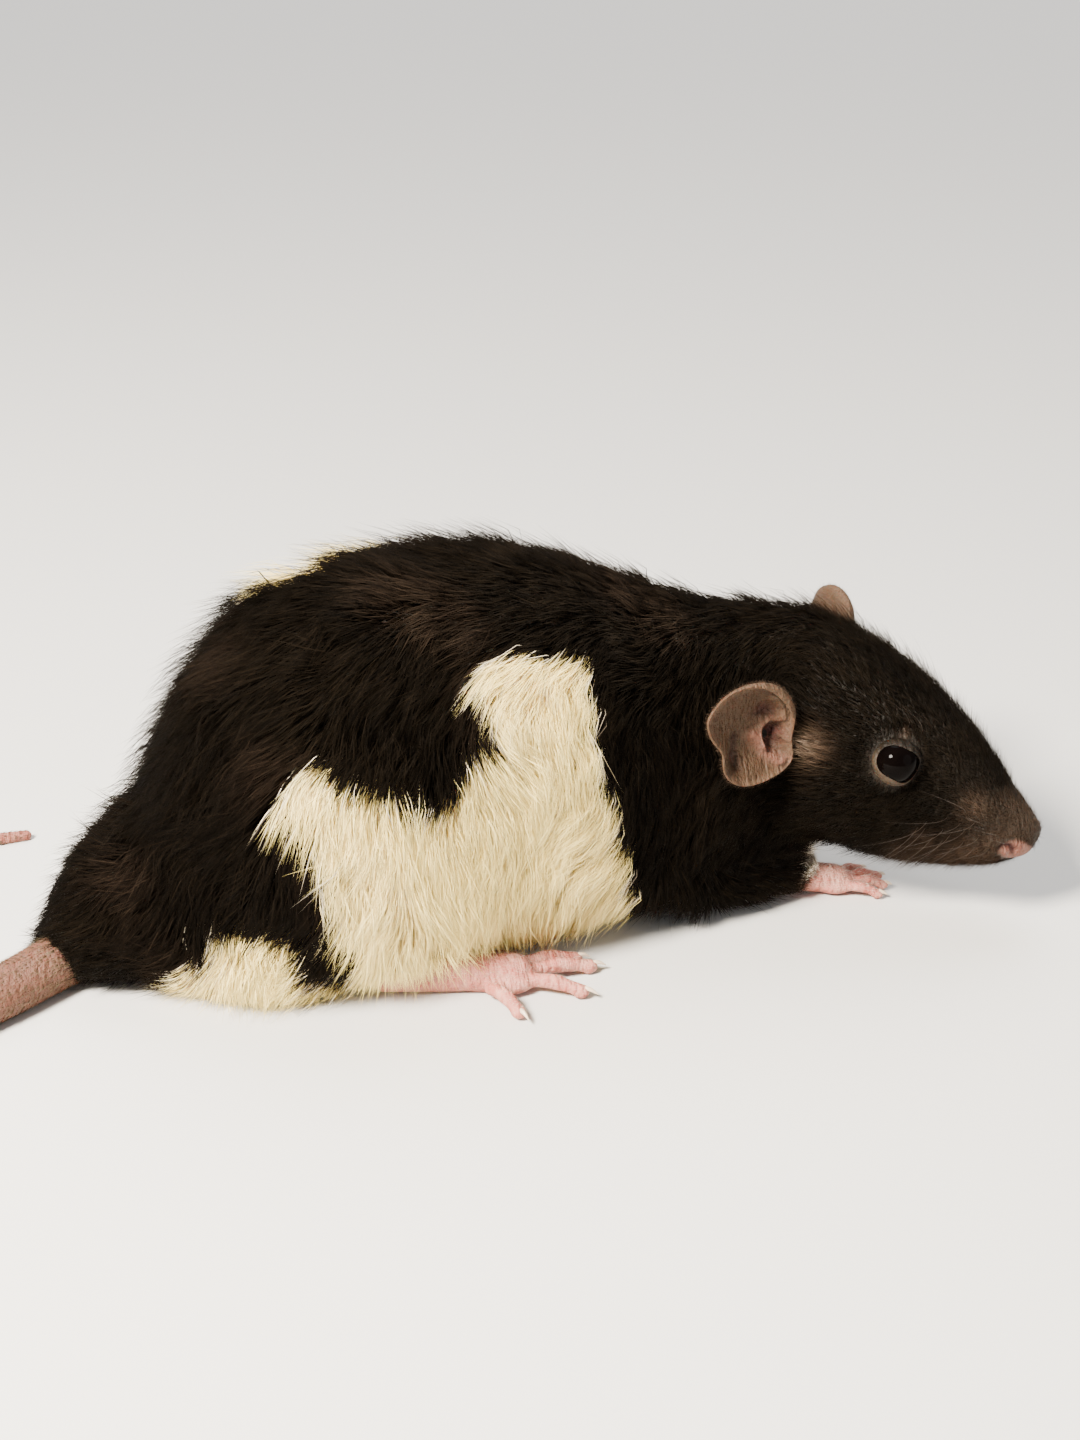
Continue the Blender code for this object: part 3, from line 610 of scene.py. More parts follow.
def digit(root, tip, lift, thickness):
    """A toe: a tube that rises by lift at its knuckle, swells there, and ends in a pad."""
    root, tip = np.array(root), np.array(tip)
    ahead = unit(tip - root)
    path = root + np.outer([0, 0.3, 0.55, 0.8, 1], tip - root)
    path[:, 2] += lift * np.array([0, 0.7, 1.0, 0.6, 0.1])
    radii = thickness * np.array([0.52, 0.46, 0.52, 0.43, 0.46])
    pad = tip - ahead * 0.5 - [0, 0, 0.15]
    return [limb(path, radii, 24, 14), ball(pad, np.array([1, 1, 0.85]) * thickness * 0.48, 12, 16)]


def claw(root, tip, size):
    """A thin cone along an arc, from inside the toe's tip up and then down to its point."""
    ahead = unit(np.array(tip) - np.array(root))
    start = np.array(tip) - ahead * 0.6 + [0, 0, 0.3]
    path = start + np.outer([0, 0.45, 0.8, 1.0], ahead * (size + 0.6))
    path[:, 2] += size * np.array([0, 0.16, 0.02, -0.16])
    return [limb(path, np.array([0.52, 0.42, 0.24, 0.07]), 14, 10)]


def turned(shapes, at, spread, side):
    """Shapes turned about Z by spread degrees, moved, and mirrored for the right side."""
    c, s = math.cos(math.radians(spread)), math.sin(math.radians(spread))
    turn = np.array([[c, -s, 0], [s, c, 0], [0, 0, 1]])
    moved = [(points @ turn.T + at, faces) for points, faces in shapes]
    if side < 0:
        moved = [(points * [1, -1, 1], [each[:, ::-1] for each in faces])
                 for points, faces in moved]
    return moved


print("a foot has", len(TOES), "toes, and a hand", len(FINGERS), "fingers")

# %% [markdown]
# The remesh makes one skin of each foot. Its sole is then pressed flat on the floor, as the soft
# pads of a real foot are. The claws stay apart, because they are horn and not skin.

# %% Feet and hands
FOOT_VOXEL, HAND_VOXEL = 0.42, 0.33
SOLE_HEIGHT = 0.04

foot_shapes = [limb(SOLE_PATH, SOLE_RADII, 24, 24), ball(*map(np.array, BALL))]
foot_claws = []
for x0, y0, x1, y1 in TOES:
    foot_shapes += digit((x0, y0, 2.0), (x1, y1, 1.25), 0.9, 2.6)
    foot_claws += claw((x0, y0, 1.25), (x1, y1, 1.25), 2.6)
hand_shapes = [limb(WRIST_PATH, WRIST_RADII, 20, 24), ball(*map(np.array, PALM))]
hand_claws = []
for x0, y0, x1, y1 in FINGERS:
    hand_shapes += digit((x0, y0, 1.8), (x1, y1, 1.0), 0.8, 1.9)
    hand_claws += claw((x0, y0, 1.0), (x1, y1, 1.0), 1.5)

feet, claws = [], []
for word, side in SIDES.items():
    for shapes, nails, at, spread, voxel in (
            (foot_shapes, foot_claws, FOOT_HEEL, FOOT_SPREAD, FOOT_VOXEL),
            (hand_shapes, hand_claws, HAND_AT, HAND_SPREAD, HAND_VOXEL)):
        foot = fused("foot", turned(shapes, at, spread, side), voxel, 2)
        pressed = places(foot)
        pressed[:, 2] = np.maximum(pressed[:, 2], SOLE_HEIGHT)
        move(foot, pressed)
        feet.append(foot)
        claws += turned(nails, at, spread, side)
print("points on each foot and hand:", [len(mesh.vertices) for mesh in feet])

# %% [markdown]
# ## Ears
#
# A dumbo rat's ears are large, round and set low on the sides of the head. Each is a thin cup of
# skin: its front rim is rolled over, a deep pit leads into the head, a fleshy ridge curls round
# under the pit, and a notch at the back cuts off a small lobe. The surface is worked out on a
# disc, in polar form. Its outline is a radius for each angle, and its relief is a sum of smooth
# hills and dents. A second surface behind it, joined at the rim, gives the thickness of the skin.

# %% Ear plan
EAR_ROOT = (1.0, 15.2, -0.4)
EAR_LENGTH, EAR_WIDTH, EAR_CUP, EAR_LEAN = 18.5, 17.5, 3.4, 1.6
EAR_POSES = {"left": ((-0.35, 0.76, 0.34), (0.79, 0.53, 0.07)),
             "right": ((-0.70, 0.72, 0.0), (0.55, 0.74, 0.32))}
EAR_STALK = ((-7.2, 0, 3.0), (3.2, 5.0, 5.8))
# The outline's radius at every 15 degrees, from the top rim round over the tip.
EAR_OUTLINE = (1.13, 1.14, 1.14, 1.13, 1.10, 1.06, 0.88, 0.70, 0.63, 0.69, 0.78, 0.84,
               0.86, 0.86, 0.87, 0.90, 0.97, 1.00, 0.87, 0.80, 0.84, 0.93, 1.01, 1.08)
CURL = ((-0.13, -0.46), (0.00, -0.37), (0.15, -0.33), (0.30, -0.35), (0.41, -0.43), (0.49, -0.58))
RIDGE = ((0.05, -0.22), (-0.07, -0.36), (-0.25, -0.55), (-0.33, -0.75), (-0.30, -0.95))
FOLD = ((0.95, -0.20), (0.86, -0.38), (0.72, -0.52), (0.58, -0.60))
FURROW = ((0.00, 0.15), (-0.15, 0.20), (-0.33, 0.18), (-0.55, 0.10))


def hill(u, v, centre, radii):
    """A bell-shaped hill of height 1 on the ear's disc."""
    return np.exp(-(((u - centre[0]) / radii[0]) ** 2) - ((v - centre[1]) / radii[1]) ** 2)


def crest(u, v, line, width):
    """A rounded crest of height 1 along a line on the ear's disc."""
    flat = np.column_stack([u.ravel(), v.ravel()])
    return np.exp(-((to_line(flat, line)[0].reshape(u.shape) / width) ** 2))


def ear_axes(word):
    """The ear's own axes as rows, in the head's frame: the way it looks, across, root to tip."""
    way, look = (unit(on_side(each, SIDES[word])) for each in EAR_POSES[word])
    look = unit(look - way * dot(look, way))
    return np.array([look, np.cross(way, look), way])


print("the ear's rim is up to", max(EAR_OUTLINE), "of the half-width away")

# %% [markdown]
# Sculpting would give one ear by hand. A surface over a disc gives both ears, and each fold can
# be set against the real one and moved by the line that it follows.

# %% Ear surface
def rolled_rim(edge, angle):
    """Rings that go on from the cup's own slope and turn inward again at the ear's front."""
    in_front = np.exp(-(((np.degrees(angle) + 200) % 360 - 180) / 45) ** 2)
    size, slope = 0.26 + 0.5 * in_front, 0.7
    turn = slope + np.linspace(0, 1, 9)[1:, None] * (0.6 + 2.6 * in_front)
    out = np.stack([np.zeros(len(angle)), np.cos(angle), np.sin(angle)], axis=1)
    return (edge + (size * (np.sin(turn) - math.sin(slope)))[..., None] * out
            + (size * (math.cos(slope) - np.cos(turn)))[..., None] * [1.0, 0, 0])


def ear_front(rows, around):
    """The ear's front as rings of points, and on them the shares of painted shade, ridge and edge.

    u = r f(a) cos a points to the top rim and v = r f(a) sin a to the tip, as r runs from 0 to 1.
    """
    angle = np.linspace(0, 2 * np.pi, around, endpoint=False)
    knots = np.arange(-2, 27)
    outline = np.take(EAR_OUTLINE, knots, mode="wrap")
    radius = smooth_between(knots * 15.0, outline, np.degrees(angle))
    r = np.linspace(0, 1, rows + 1)[1:, None] ** 0.8
    u, v = r * radius * np.cos(angle), r * radius * np.sin(angle)
    pit = hill(u, v, (0.14, -0.62), (0.26, 0.18))
    hollow = hill(u, v, (0.60, -0.27), (0.16, 0.2))
    ridge, curl = crest(u, v, RIDGE, 0.12), crest(u, v, CURL, 0.06)
    fold, furrow = crest(u, v, FOLD, 0.10), crest(u, v, FURROW, 0.10)
    rim = ease(r, 0.86, 1.0) + 0 * u
    relief = (-2.2 * pit - 0.9 * hollow + 1.3 * ridge + 0.9 * curl + 1.0 * fold - 0.9 * furrow
              + 0.8 * hill(u, v, (-0.5, -0.25), (0.25, 0.3))
              + 0.25 * np.sin(7 * u + 2 * v) * (1 - r) * r)
    rise = (1 + v) / 2
    cup = EAR_CUP * (1 - r**2) * (1 - 0.5 * r * np.sin(angle))
    front = np.stack([-cup - EAR_LEAN * rise**2 + relief * (1 - rim), EAR_WIDTH / 2 * u,
                      EAR_LENGTH * rise], axis=2)
    # deep is painted shade: it darkens the pit, the hollow and the furrow, and lightens the raised
    # curl.
    shares = {"deep": pit + 0.7 * hollow + 0.35 * furrow - 0.6 * curl, "rosy": ridge + 0.5 * curl,
              "edge": rim + 0.8 * fold}
    return np.concatenate([front, rolled_rim(front[-1], angle)]), shares


def ear(word, rows=34, around=72):
    """One ear's points, faces and shares, in animal millimetres."""
    front, shares = ear_front(rows, around)
    count = len(front)
    step_round = np.roll(front, -1, axis=1) - np.roll(front, 1, axis=1)
    normal = unit(np.cross(np.gradient(front, axis=0), step_round))
    thick = np.interp(np.arange(count), (0, rows * 0.7, rows, count), (0.95, 0.6, 0.42, 0.2))
    back = (front - normal * thick[:, None, None])[::-1]
    points, faces = closed(np.concatenate([front, back]), front[0].mean(axis=0),
                           back[-1].mean(axis=0), flipped=True)
    if SIDES[word] > 0:
        points = points * [1, -1, 1]
        faces = [each[:, ::-1] for each in faces]
    for name, share in shares.items():
        # The back keeps most of the rim's lighter edge mark, partly a painted highlight, and no
        # painted shade.
        share = np.concatenate([share, np.repeat(share[-1:], count - rows, axis=0)])
        hidden = share[::-1].ravel() * (0.7 if name == "edge" else 0)
        shares[name] = np.clip(np.concatenate([share.ravel(), hidden, [0, 0]]), 0, 1)
    points = points @ ear_axes(word) + on_side(EAR_ROOT, SIDES[word])
    return from_head(points), faces, shares


ears = {word: ear(word) for word in SIDES}
print("points on each ear:", [len(ears[word][0]) for word in SIDES])

# %% [markdown]
# A closed shape that is inside out has a negative volume, so a sum over its faces is a quick test
# that a mirrored ear still looks outwards.

# %% A test of the mirror image
def volume(points, faces):
    """Signed volume of a closed shape, which is positive when its faces look outwards."""
    total = 0.0
    for each in faces:
        for k in range(1, each.shape[1] - 1):
            a, b, c = points[each[:, 0]], points[each[:, k]], points[each[:, k + 1]]
            total += np.einsum("ij,ij->", a, np.cross(b, c)) / 6
    return total


print("volume of each ear, mm3:", [round(volume(*ears[word][:2]), 1) for word in SIDES])

# %% [markdown]
# ## Tail
#
# The tail is scaly skin in narrow rings, with short bristles between them. It is a tube along the
# same path as the solid one, and each ring is a low step in its radius.

# %% Tail surface
TAIL_PATH = ((-76, -5.0), (-86, -10.5), (-96, -18.0), (-110, -26.0), (-128, -27.5), (-143, -18.0),
             (-150, 0.0), (-146, 19.0), (-132, 33.0), (-112, 41.0), (-90, 44.0))
TAIL_THICKNESS = (10.5, 9.6, 8.9, 8.0, 7.1, 6.3, 5.6, 4.9, 4.2, 3.3, 2.0)
TAIL_ROOT_HEIGHT, TAIL_FLAT = 6.4, 0.12
TAIL_RING = 0.95  # width of a ring of scales
TAIL_SIDES = 20

tail_radii = np.array(TAIL_THICKNESS) / 2
tail_middle = np.column_stack([np.array(TAIL_PATH, float), tail_radii - TAIL_FLAT])
tail_middle[0, 2] = TAIL_ROOT_HEIGHT
tail_knots = way_along(tail_middle)
tail_rings = int(tail_knots[-1] / TAIL_RING)
tail_at = (np.arange(tail_rings)[:, None] * TAIL_RING + [0.04, 0.80]).ravel()
tail_line = smooth_between(tail_knots, tail_middle, tail_at)
tail_size = smooth_between(tail_knots, tail_radii, tail_at)
step = np.tile([-0.14, -0.02], tail_rings) * np.clip(tail_size / 4, 0.4, 1)
tail_points, tail_faces = tube(tail_line, tail_size + step, TAIL_SIDES)
tail_points[:, 2] = np.maximum(tail_points[:, 2], 0.02)
print("the tail has", tail_rings, "rings and is", tail_knots[-1].round(0), "mm long")

# %% [markdown]
# ## Eyes and lids
#
# A rat's eyes are black beads that bulge, so that a little under half of each ball shows. The
# eyes and their lids come before the skin, because the lids are part of it: each is a band that
# hugs the ball, wider open along the head than across it.

# %% Lids
EYE_RADIUS = 3.9
EYE_LOOK = (0.28, 0.91, 0.302)  # the way the left eye looks, in the head's frame


def eye_axes(word):
    """An eye's middle, and as rows its way out, along the head to the nose, and down."""
    out = unit(on_side(EYE_LOOK, SIDES[word]) @ HEAD_AXES.T)
    ahead = unit(HEAD_AXES[:, 0] - out * dot(HEAD_AXES[:, 0], out))
    middle = to_animal(sum(np.array(corner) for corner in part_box(f"eye_{word}")) / 2)
    return middle, np.array([out, ahead, np.cross(out, ahead) * SIDES[word]])


def lids(word, around=72, section=20):
    """A closed band round the eye, whose section is an ellipse in polar angle and radius.

    At the angle a round the eye its margin is at 45 + 32 cos^2 a + 4 cos^9 a + 1.5 sin 3a degrees
    from the way the eye looks, so that the opening is long towards the nose.
    """
    middle, axes = eye_axes(word)
    a = np.linspace(0, 2 * np.pi, around, endpoint=False)[:, None]
    t = np.linspace(0, 2 * np.pi, section, endpoint=False)[None]
    margin = 45 + 32 * np.cos(a) ** 2 + 4 * np.cos(a) ** 9 + 1.5 * np.sin(3 * a)
    half = 20 - 8 * np.cos(a) ** 2
    polar = np.radians(margin + half * (1 - np.cos(t)))
    radius = EYE_RADIUS + 0.10 + 0.24 * np.sin(t) * (1 - 0.2 * np.cos(3 * a)) + 0 * a
    local = np.stack([radius * np.cos(polar), radius * np.sin(polar) * np.cos(a),
                      radius * np.sin(polar) * np.sin(a)], axis=2)
    quads = grid(around + 1, section)
    quads = quads % (around * section)
    if SIDES[word] < 0:
        quads = quads[:, ::-1]
    return local.reshape(-1, 3) @ axes + middle, [quads]


print("volume of each eye's lids, mm3:", [round(volume(*lids(word)), 1) for word in SIDES])

# %% [markdown]
# ## One skin
#
# Real skin has no seams. Copies of the solid pieces of the head, body and legs are swollen by a
# hair's breadth until they overlap, and voxel remeshing makes them one. The eyes go in as well,
# so that no socket is left open. The whole form is later drawn in by the depth of the coat that
# will lie on it.

# %% Flesh from the solids
FLESH = ["head", "neck", "torso", "rump", *(f"{name}_{side}" for name in ("arm", "thigh")
                                           for side in SIDES)]
SWELL = 0.25
SKIN_VOXEL = 1.15
COAT_SHARE = 0.40  # depth of the coat as a share of the hair's length


def solid(node):
    """A solid piece's points and triangles, its doubles merged, swollen along its normals."""
    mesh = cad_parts[node].data
    mesh.calc_loop_triangles()
    corners = np.empty(len(mesh.loop_triangles) * 3, np.int32)
    mesh.loop_triangles.foreach_get("vertices", corners)
    points, index = np.unique(places(mesh).round(3), axis=0, return_inverse=True)
    faces = index.reshape(-1)[corners].reshape(-1, 3)
    faces = faces[(faces[:, 0] != faces[:, 1]) & (faces[:, 1] != faces[:, 2])
                  & (faces[:, 0] != faces[:, 2])]
    a, b, c = points[faces].transpose(1, 0, 2)
    normals = np.zeros_like(points)
    np.add.at(normals, faces, np.cross(b - a, c - a)[:, None])
    return points + unit(normals) * SWELL, [faces]


def refined(mesh, chosen, cuts):
    """Divides the faces whose corners are all chosen, and rounds them again."""
    bm = bmesh.new()
    bm.from_mesh(mesh)
    faces = [face for face in bm.faces if all(chosen[corner.index] for corner in face.verts)]
    edges = list({edge for face in faces for edge in face.edges})
    done = bmesh.ops.subdivide_edges(bm, edges=edges, cuts=cuts, use_grid_fill=True)
    new = [each for each in done["geom_inner"] if isinstance(each, bmesh.types.BMVert)]
    for _ in range(5):
        bmesh.ops.smooth_vert(bm, verts=new, factor=0.5, use_axis_x=True, use_axis_y=True,
                              use_axis_z=True)
    bmesh.ops.triangulate(bm, faces=[face for face in bm.faces if len(face.verts) > 4])
    bm.to_mesh(mesh)
    bm.free()
    mesh.shade_smooth()


def eye_gap(points):
    """Distance to the nearer eye's middle."""
    return np.min([np.linalg.norm(points - eye_axes(word)[0], axis=1) for word in SIDES], axis=0)


print("solids that the skin stands for:", len(FLESH))

# %% [markdown]
# The remesh's cells are a little over a millimetre, which is enough under the coat. The muzzle
# and the rims of the eyes need more points, and get them from a division of their faces.

# %% The body's form
MUZZLE_START, BY_THE_EYES = 29, 9

body = fused("body", [solid(node) for node in FLESH + ["eye_left", "eye_right"]], SKIN_VOXEL, 6)
refined(body, in_head(places(body))[:, 0] > MUZZLE_START, 2)
refined(body, (eye_gap(places(body)) < BY_THE_EYES)
        & (in_head(places(body))[:, 0] < MUZZLE_START - 1), 1)
print("the body has", len(body.vertices), "points")

# %% [markdown]
# The face is carved in that form. The nose pad is a low cushion with a nostril on each side, each
# a comma that curls outwards, and the philtrum runs down from it to the mouth. The mouth's line
# goes back under the whisker pads. Each groove is a distance to a line, turned into a smooth dent.

# %% The face, and the coat's depth
NOSE_AT, NOSE_SIZE = (42.6, 0.0, -2.8), (4.0, 8.0, 2.6)
NOSTRIL = ((43.3, 4.9, -2.9), (42.4, 5.7, -1.9), (41.4, 6.6, -1.9), (40.8, 7.0, -3.0))
PHILTRUM = ((47.0, 0.0, -3.2), (46.4, 0.0, -5.2), (45.0, 0.0, -7.0), (43.6, 0.0, -8.2))
MOUTH = ((44.4, 0.0, -7.4), (41.0, 3.6, -9.6), (36.0, 6.2, -11.6), (31.0, 7.8, -12.4))


def groove(seen, line, width):
    """1 on a line and 0 away from it, as the bell curve exp(-(d / width)^2)."""
    return np.exp(-((to_line(mirrored(seen), line)[0] / width) ** 2))


def on_surface(line, surface):
    """The points of a surface that are nearest to those of a line."""
    gaps = np.linalg.norm(surface[None] - np.array(line)[:, None], axis=2)
    return surface[gaps.argmin(axis=1)]


def bare_share(points):
    """1 where the face has no fur: nose pad, philtrum and the lips' edges."""
    seen = in_head(points)
    pad = 1 - ease(np.linalg.norm((seen - NOSE_AT) / NOSE_SIZE, axis=1), 0.8, 1.1)
    return np.clip(pad + groove(seen, PHILTRUM, 0.6) + 0.4 * groove(seen, MOUTH, 0.5), 0, 1)


points = places(body)
seen = in_head(points)
NOSTRIL, MOUTH = (on_surface(line, mirrored(seen)) for line in (NOSTRIL, MOUTH))
depth = np.maximum(COAT_SHARE * hair_length(points) * (1 - bare_share(points)), 0.15)
depth += 0.9 * groove(seen, NOSTRIL, 0.5) + 0.35 * groove(seen, PHILTRUM, 0.35)
depth += 0.6 * groove(seen, MOUTH, 0.4)
depth += 1.2 * (1 - ease(eye_gap(points), 4.1, 5.3))
# The nostrils are darkened with painted shade through this share, which becomes the mark deep.
nostrils = groove(seen, NOSTRIL, 0.5)
bare, pale, tan = bare_share(points), pale_share(points), tan_share(points)
body_points = points - facing(body) * depth[:, None]
body_points[:, 2] = np.maximum(body_points[:, 2], 0.3)
move(body, body_points)
print("the coat is up to", depth.max().round(1), "mm deep")

# %% [markdown]
# The ears, lids, feet, hands and tail are joined to the body by Boolean unions, so that all the
# flesh is one closed surface. Each ear stands on a short furred stalk, which fills the gap between
# its cup and the head. Each shape carries numbers on its points, which the union keeps: how bare
# the skin is, where it is pale, tan or brown, where painted shade darkens it (deep, in the ears'
# pits and in the nostrils), and where it is an ear's edge, lighter for its pale hairs and by a
# painted highlight.

# %% One surface
SHARES = ("bare", "pale", "tan", "tawny", "deep", "edge")


def marked_shape(mesh, **shares):
    """A mesh with every one of the shares on its points, 0 where none is given."""
    for name in SHARES:
        values = shares.get(name, 0.0)
        mark(mesh, **{name: np.broadcast_to(values, len(mesh.vertices))})
    return mesh


def united(name, meshes):
    """The union of closed meshes, one after another."""
    objects = [bpy.data.objects.new(mesh.name, mesh) for mesh in meshes]
    for obj in objects:
        bpy.context.scene.collection.objects.link(obj)
    for other in objects[1:]:
        join = objects[0].modifiers.new("join", "BOOLEAN")
        join.operation = "UNION"
        join.solver = "MANIFOLD"
        join.object = other
    graph = bpy.context.evaluated_depsgraph_get()
    mesh = bpy.data.meshes.new_from_object(objects[0].evaluated_get(graph))
    for obj in objects:
        bpy.data.objects.remove(obj)
    mesh.name = name
    return mesh


shapes = [marked_shape(body, bare=bare, pale=pale, tan=tan, deep=nostrils, tawny=0.72)]
stalks = {}
for word, side in SIDES.items():
    ear_points, ear_faces, shares = ears[word]
    # An ear's deep mark is painted shade, and its edge mark is partly a painted highlight.
    shapes.append(marked_shape(mesh_of("ear", ear_points, ear_faces), bare=1.0,
                               tawny=1 - 0.15 * shares["rosy"], deep=shares["deep"],
                               edge=shares["edge"]))
    stalk_points, stalk_faces = ball(*map(np.array, EAR_STALK))
    stalks[word] = from_head(stalk_points @ ear_axes(word) + on_side(EAR_ROOT, side)), stalk_faces
    shapes.append(marked_shape(mesh_of("stalk", *stalks[word])))
    lid_points, lid_faces = lids(word)
    down = (lid_points - eye_axes(word)[0]) @ eye_axes(word)[1][2] / EYE_RADIUS
    below = ease(down, -0.4, 0.6)
    shapes.append(marked_shape(mesh_of("lids", lid_points, lid_faces), tawny=1.0,
                               bare=0.05 + 0.25 * below, pale=0.04 * below))
shapes += [marked_shape(mesh, bare=1.0) for mesh in feet]
tail_row = np.full(len(tail_points), float(tail_rings))
tail_row[:len(tail_at) * TAIL_SIDES] = np.repeat(tail_at / TAIL_RING, TAIL_SIDES)
shapes.append(marked_shape(mesh_of("tail", tail_points, tail_faces), bare=1.0,
                           tawny=0.88 - 0.5 * tail_row / tail_rings))
skin = united("skin", shapes)
skin.calc_loop_triangles()
print("the skin has", len(skin.loop_triangles), "triangles and keeps",
      [each.name for each in skin.attributes if each.name in SHARES])

# %% [markdown]
# Skin under a dark coat is grey-brown, and under a cream one pale. Both are tinted towards the
# fur, so that no gap between the tufts catches the eye. Bare skin is pink on the nose, lips and
# feet, brown and thin on the ears, and grey-brown on the tail, with fine creases as a bump. A
# little subsurface light softens it.

# %% Skin finish
DARK = (0.002, 0.0014, 0.0008)
BROWN = (0.0105, 0.0069, 0.0037)
TAN = (0.175, 0.115, 0.080)
CREAM = (1.0, 0.85, 0.33)

flesh = Finish("skin", 0.55, Subsurface_Weight=0.2, Subsurface_Scale=0.0012,
               Specular_IOR_Level=0.15)
streaks = flesh.noise(900, 3)
furred = flesh.blend(flesh.marked("tan") * 0.3, flesh.blend(streaks, DARK, BROWN), TAN)
furred = flesh.blend(flesh.marked("pale"), furred, (0.60, 0.48, 0.34))
mottle = flesh.noise(260, 4)
creases = flesh.noise(520, 3, (2.6, 0.5, 1))
flushed = ((creases + mottle) * 2.0 - 1.5).clamped()
rosy = flesh.blend(flushed, (0.53, 0.25, 0.195), (0.38, 0.11, 0.082))
tawny = flesh.blend(mottle, (0.030, 0.016, 0.0082), (0.063, 0.034, 0.018))
bare_skin = flesh.blend(flesh.marked("tawny"), rosy, tawny)
# Painted shade: the mark deep darkens the ears' pits, hollows and furrows and the nostrils.
bare_skin = flesh.blend(flesh.marked("deep"), bare_skin, (0.04, 0.011, 0.010))
# Partly painted highlight: the mark edge lightens the ears' rims and folds, which also have paler
# hairs.
bare_skin = flesh.blend(flesh.marked("edge") * 0.16, bare_skin, (0.26, 0.16, 0.10))
flesh.set("Base Color", flesh.blend(flesh.marked("bare"), furred, bare_skin))
flesh.set("Roughness", 0.62 - flesh.noise(500, 2) * 0.16)
flesh.bump(flesh.noise(1500, 4) + flesh.noise(420, 3) + creases * 2.5, 0.3)
piece(skin, flesh.material, "skin", *FLESH, "ear_left", "ear_right",
      *(f"{name}_{word}" for name in ("hand", "hind_foot") for word in SIDES),
      *(f"tail_{number}" for number in range(1, 5)))

# %% [markdown]
# The eyes are black all over, as a dark rat's are: the iris is nearly as dark as the pupil. The
# ball is very smooth, and its weak, sharp reflection is that of a wet cornea. Claws are pale horn.

# %% Eyes and claws
eye_shapes = []
for word in SIDES:
    middle, axes = eye_axes(word)
    ball_points, ball_faces = ball(np.zeros(3), np.full(3, EYE_RADIUS), 48, 64)
    eye_shapes.append((ball_points + middle, ball_faces))
eye_finish = Finish("eye", 0.03, IOR=1.09, Specular_IOR_Level=0.6)
eye_finish.set("Base Color", eye_finish.blend(eye_finish.noise(500, 2), (0.0006, 0.0004, 0.0004),
                                              (0.002, 0.0012, 0.001)))
piece(mesh_of("eyes", *together(eye_shapes)), eye_finish.material, "eyes", "eye_left", "eye_right")

horn = Finish("claw", 0.35, Coat_Weight=0.3)
horn.set("Base Color", horn.blend(horn.noise(900, 2, (1, 3, 3)), (0.60, 0.45, 0.33),
                                  (0.72, 0.58, 0.42)))
claw_points, claw_faces = together(claws)
claw_points[:, 2] = np.maximum(claw_points[:, 2], 0.02)
piece(mesh_of("claws", claw_points, claw_faces), horn.material, "skin")

# %% [markdown]
# ## The coat
#
# Each tuft is a little three-sided blade. A long one is a ring of three points sunk in the skin,
# a second ring nearly half way along, and a tip, ten triangles in all. A short one, on the face
# and hands, is straight and needs four. A tuft leaves the skin at a slant and bends down to lie
# along it. Tufts stick together in locks, so each tip is drawn towards the middle of its lock's
# tips. The roots are spread over the skin by area, closer where the hair is finer.

# %% Roots
LONG_TUFTS, SHORT_TUFTS = 118_000, 49_000
SHORT_LENGTH = 3.7  # hair up to this length is made of short tufts
LIDS_END = 4.4  # no tuft grows nearer than this to an eye's middle


def triangles_of(mesh):
    """A mesh's triangles as rows of three point numbers."""
    mesh.calc_loop_triangles()
    corners = np.empty(len(mesh.loop_triangles) * 3, np.int32)
    mesh.loop_triangles.foreach_get("vertices", corners)
    return corners.reshape(-1, 3)


def sown(points, normals, corners, weight, count):
    """Roots and outward ways, spread over triangles in proportion to area times weight."""
    a, b, c = points[corners].transpose(1, 0, 2)
    ends = np.cumsum(np.linalg.norm(np.cross(b - a, c - a), axis=1) * weight)
    draws = (np.arange(count) + rng.random(count)) / count * ends[-1]
    chosen = corners[np.minimum(np.searchsorted(ends, draws), len(corners) - 1)]
    u, v = rng.random((2, count, 1))
    u, v = np.where(u + v > 1, 1 - u, u), np.where(u + v > 1, 1 - v, v)
    shares = np.concatenate([1 - u - v, u, v], axis=1)[..., None]
    return (points[chosen] * shares).sum(axis=1), unit((normals[chosen] * shares).sum(axis=1))


def crowding(points, normals):
    """How close the tufts stand, against 1 on the back."""
    head, seen = head_share(points), in_head(points)
    crowd = 1 + head * np.interp(seen[:, 0], (0, 20, 40), (0.3, 1.0, 3.2)) + 0.8 * arm_share(points)
    crowd = crowd * (1 - 0.75 * ease(-normals[:, 2], 0.6, 0.95) * (1 - head))
    crowd = crowd * (1 + 1.5 * (1 - ease(eye_gap(points), 5, 7)))
    return crowd * (bare_share(points) < 0.5) * (eye_gap(points) > LIDS_END)


body_mesh_corners = triangles_of(body)
body_normals = facing(body)
middles = body_points[body_mesh_corners].mean(axis=1)
crowd = crowding(middles, unit(body_normals[body_mesh_corners].sum(axis=1)))
short = hair_length(middles) + 0.25 * waves(middles, 4, 21) < SHORT_LENGTH
roots, outward = (np.concatenate(each) for each in zip(*(
    sown(body_points, body_normals, body_mesh_corners, crowd * zone, count)
    for zone, count in ((short, SHORT_TUFTS), (~short, LONG_TUFTS)))))
is_short = np.arange(len(roots)) < SHORT_TUFTS
print(len(roots), "tufts, of which", SHORT_TUFTS, "are short")

# %% [markdown]
# Blender's hair strands have no faces, so they would be lost from the finished mesh, and each tuft
# is a solid blade in their place. Real fur parts into locks of several sizes: a lattice that is
# warped by noise sorts the roots into them.

# %% Locks and blades
MASS, LOCK, SMALL_LOCK = 13, 5.5, 1.8  # sizes of the lattices' cells


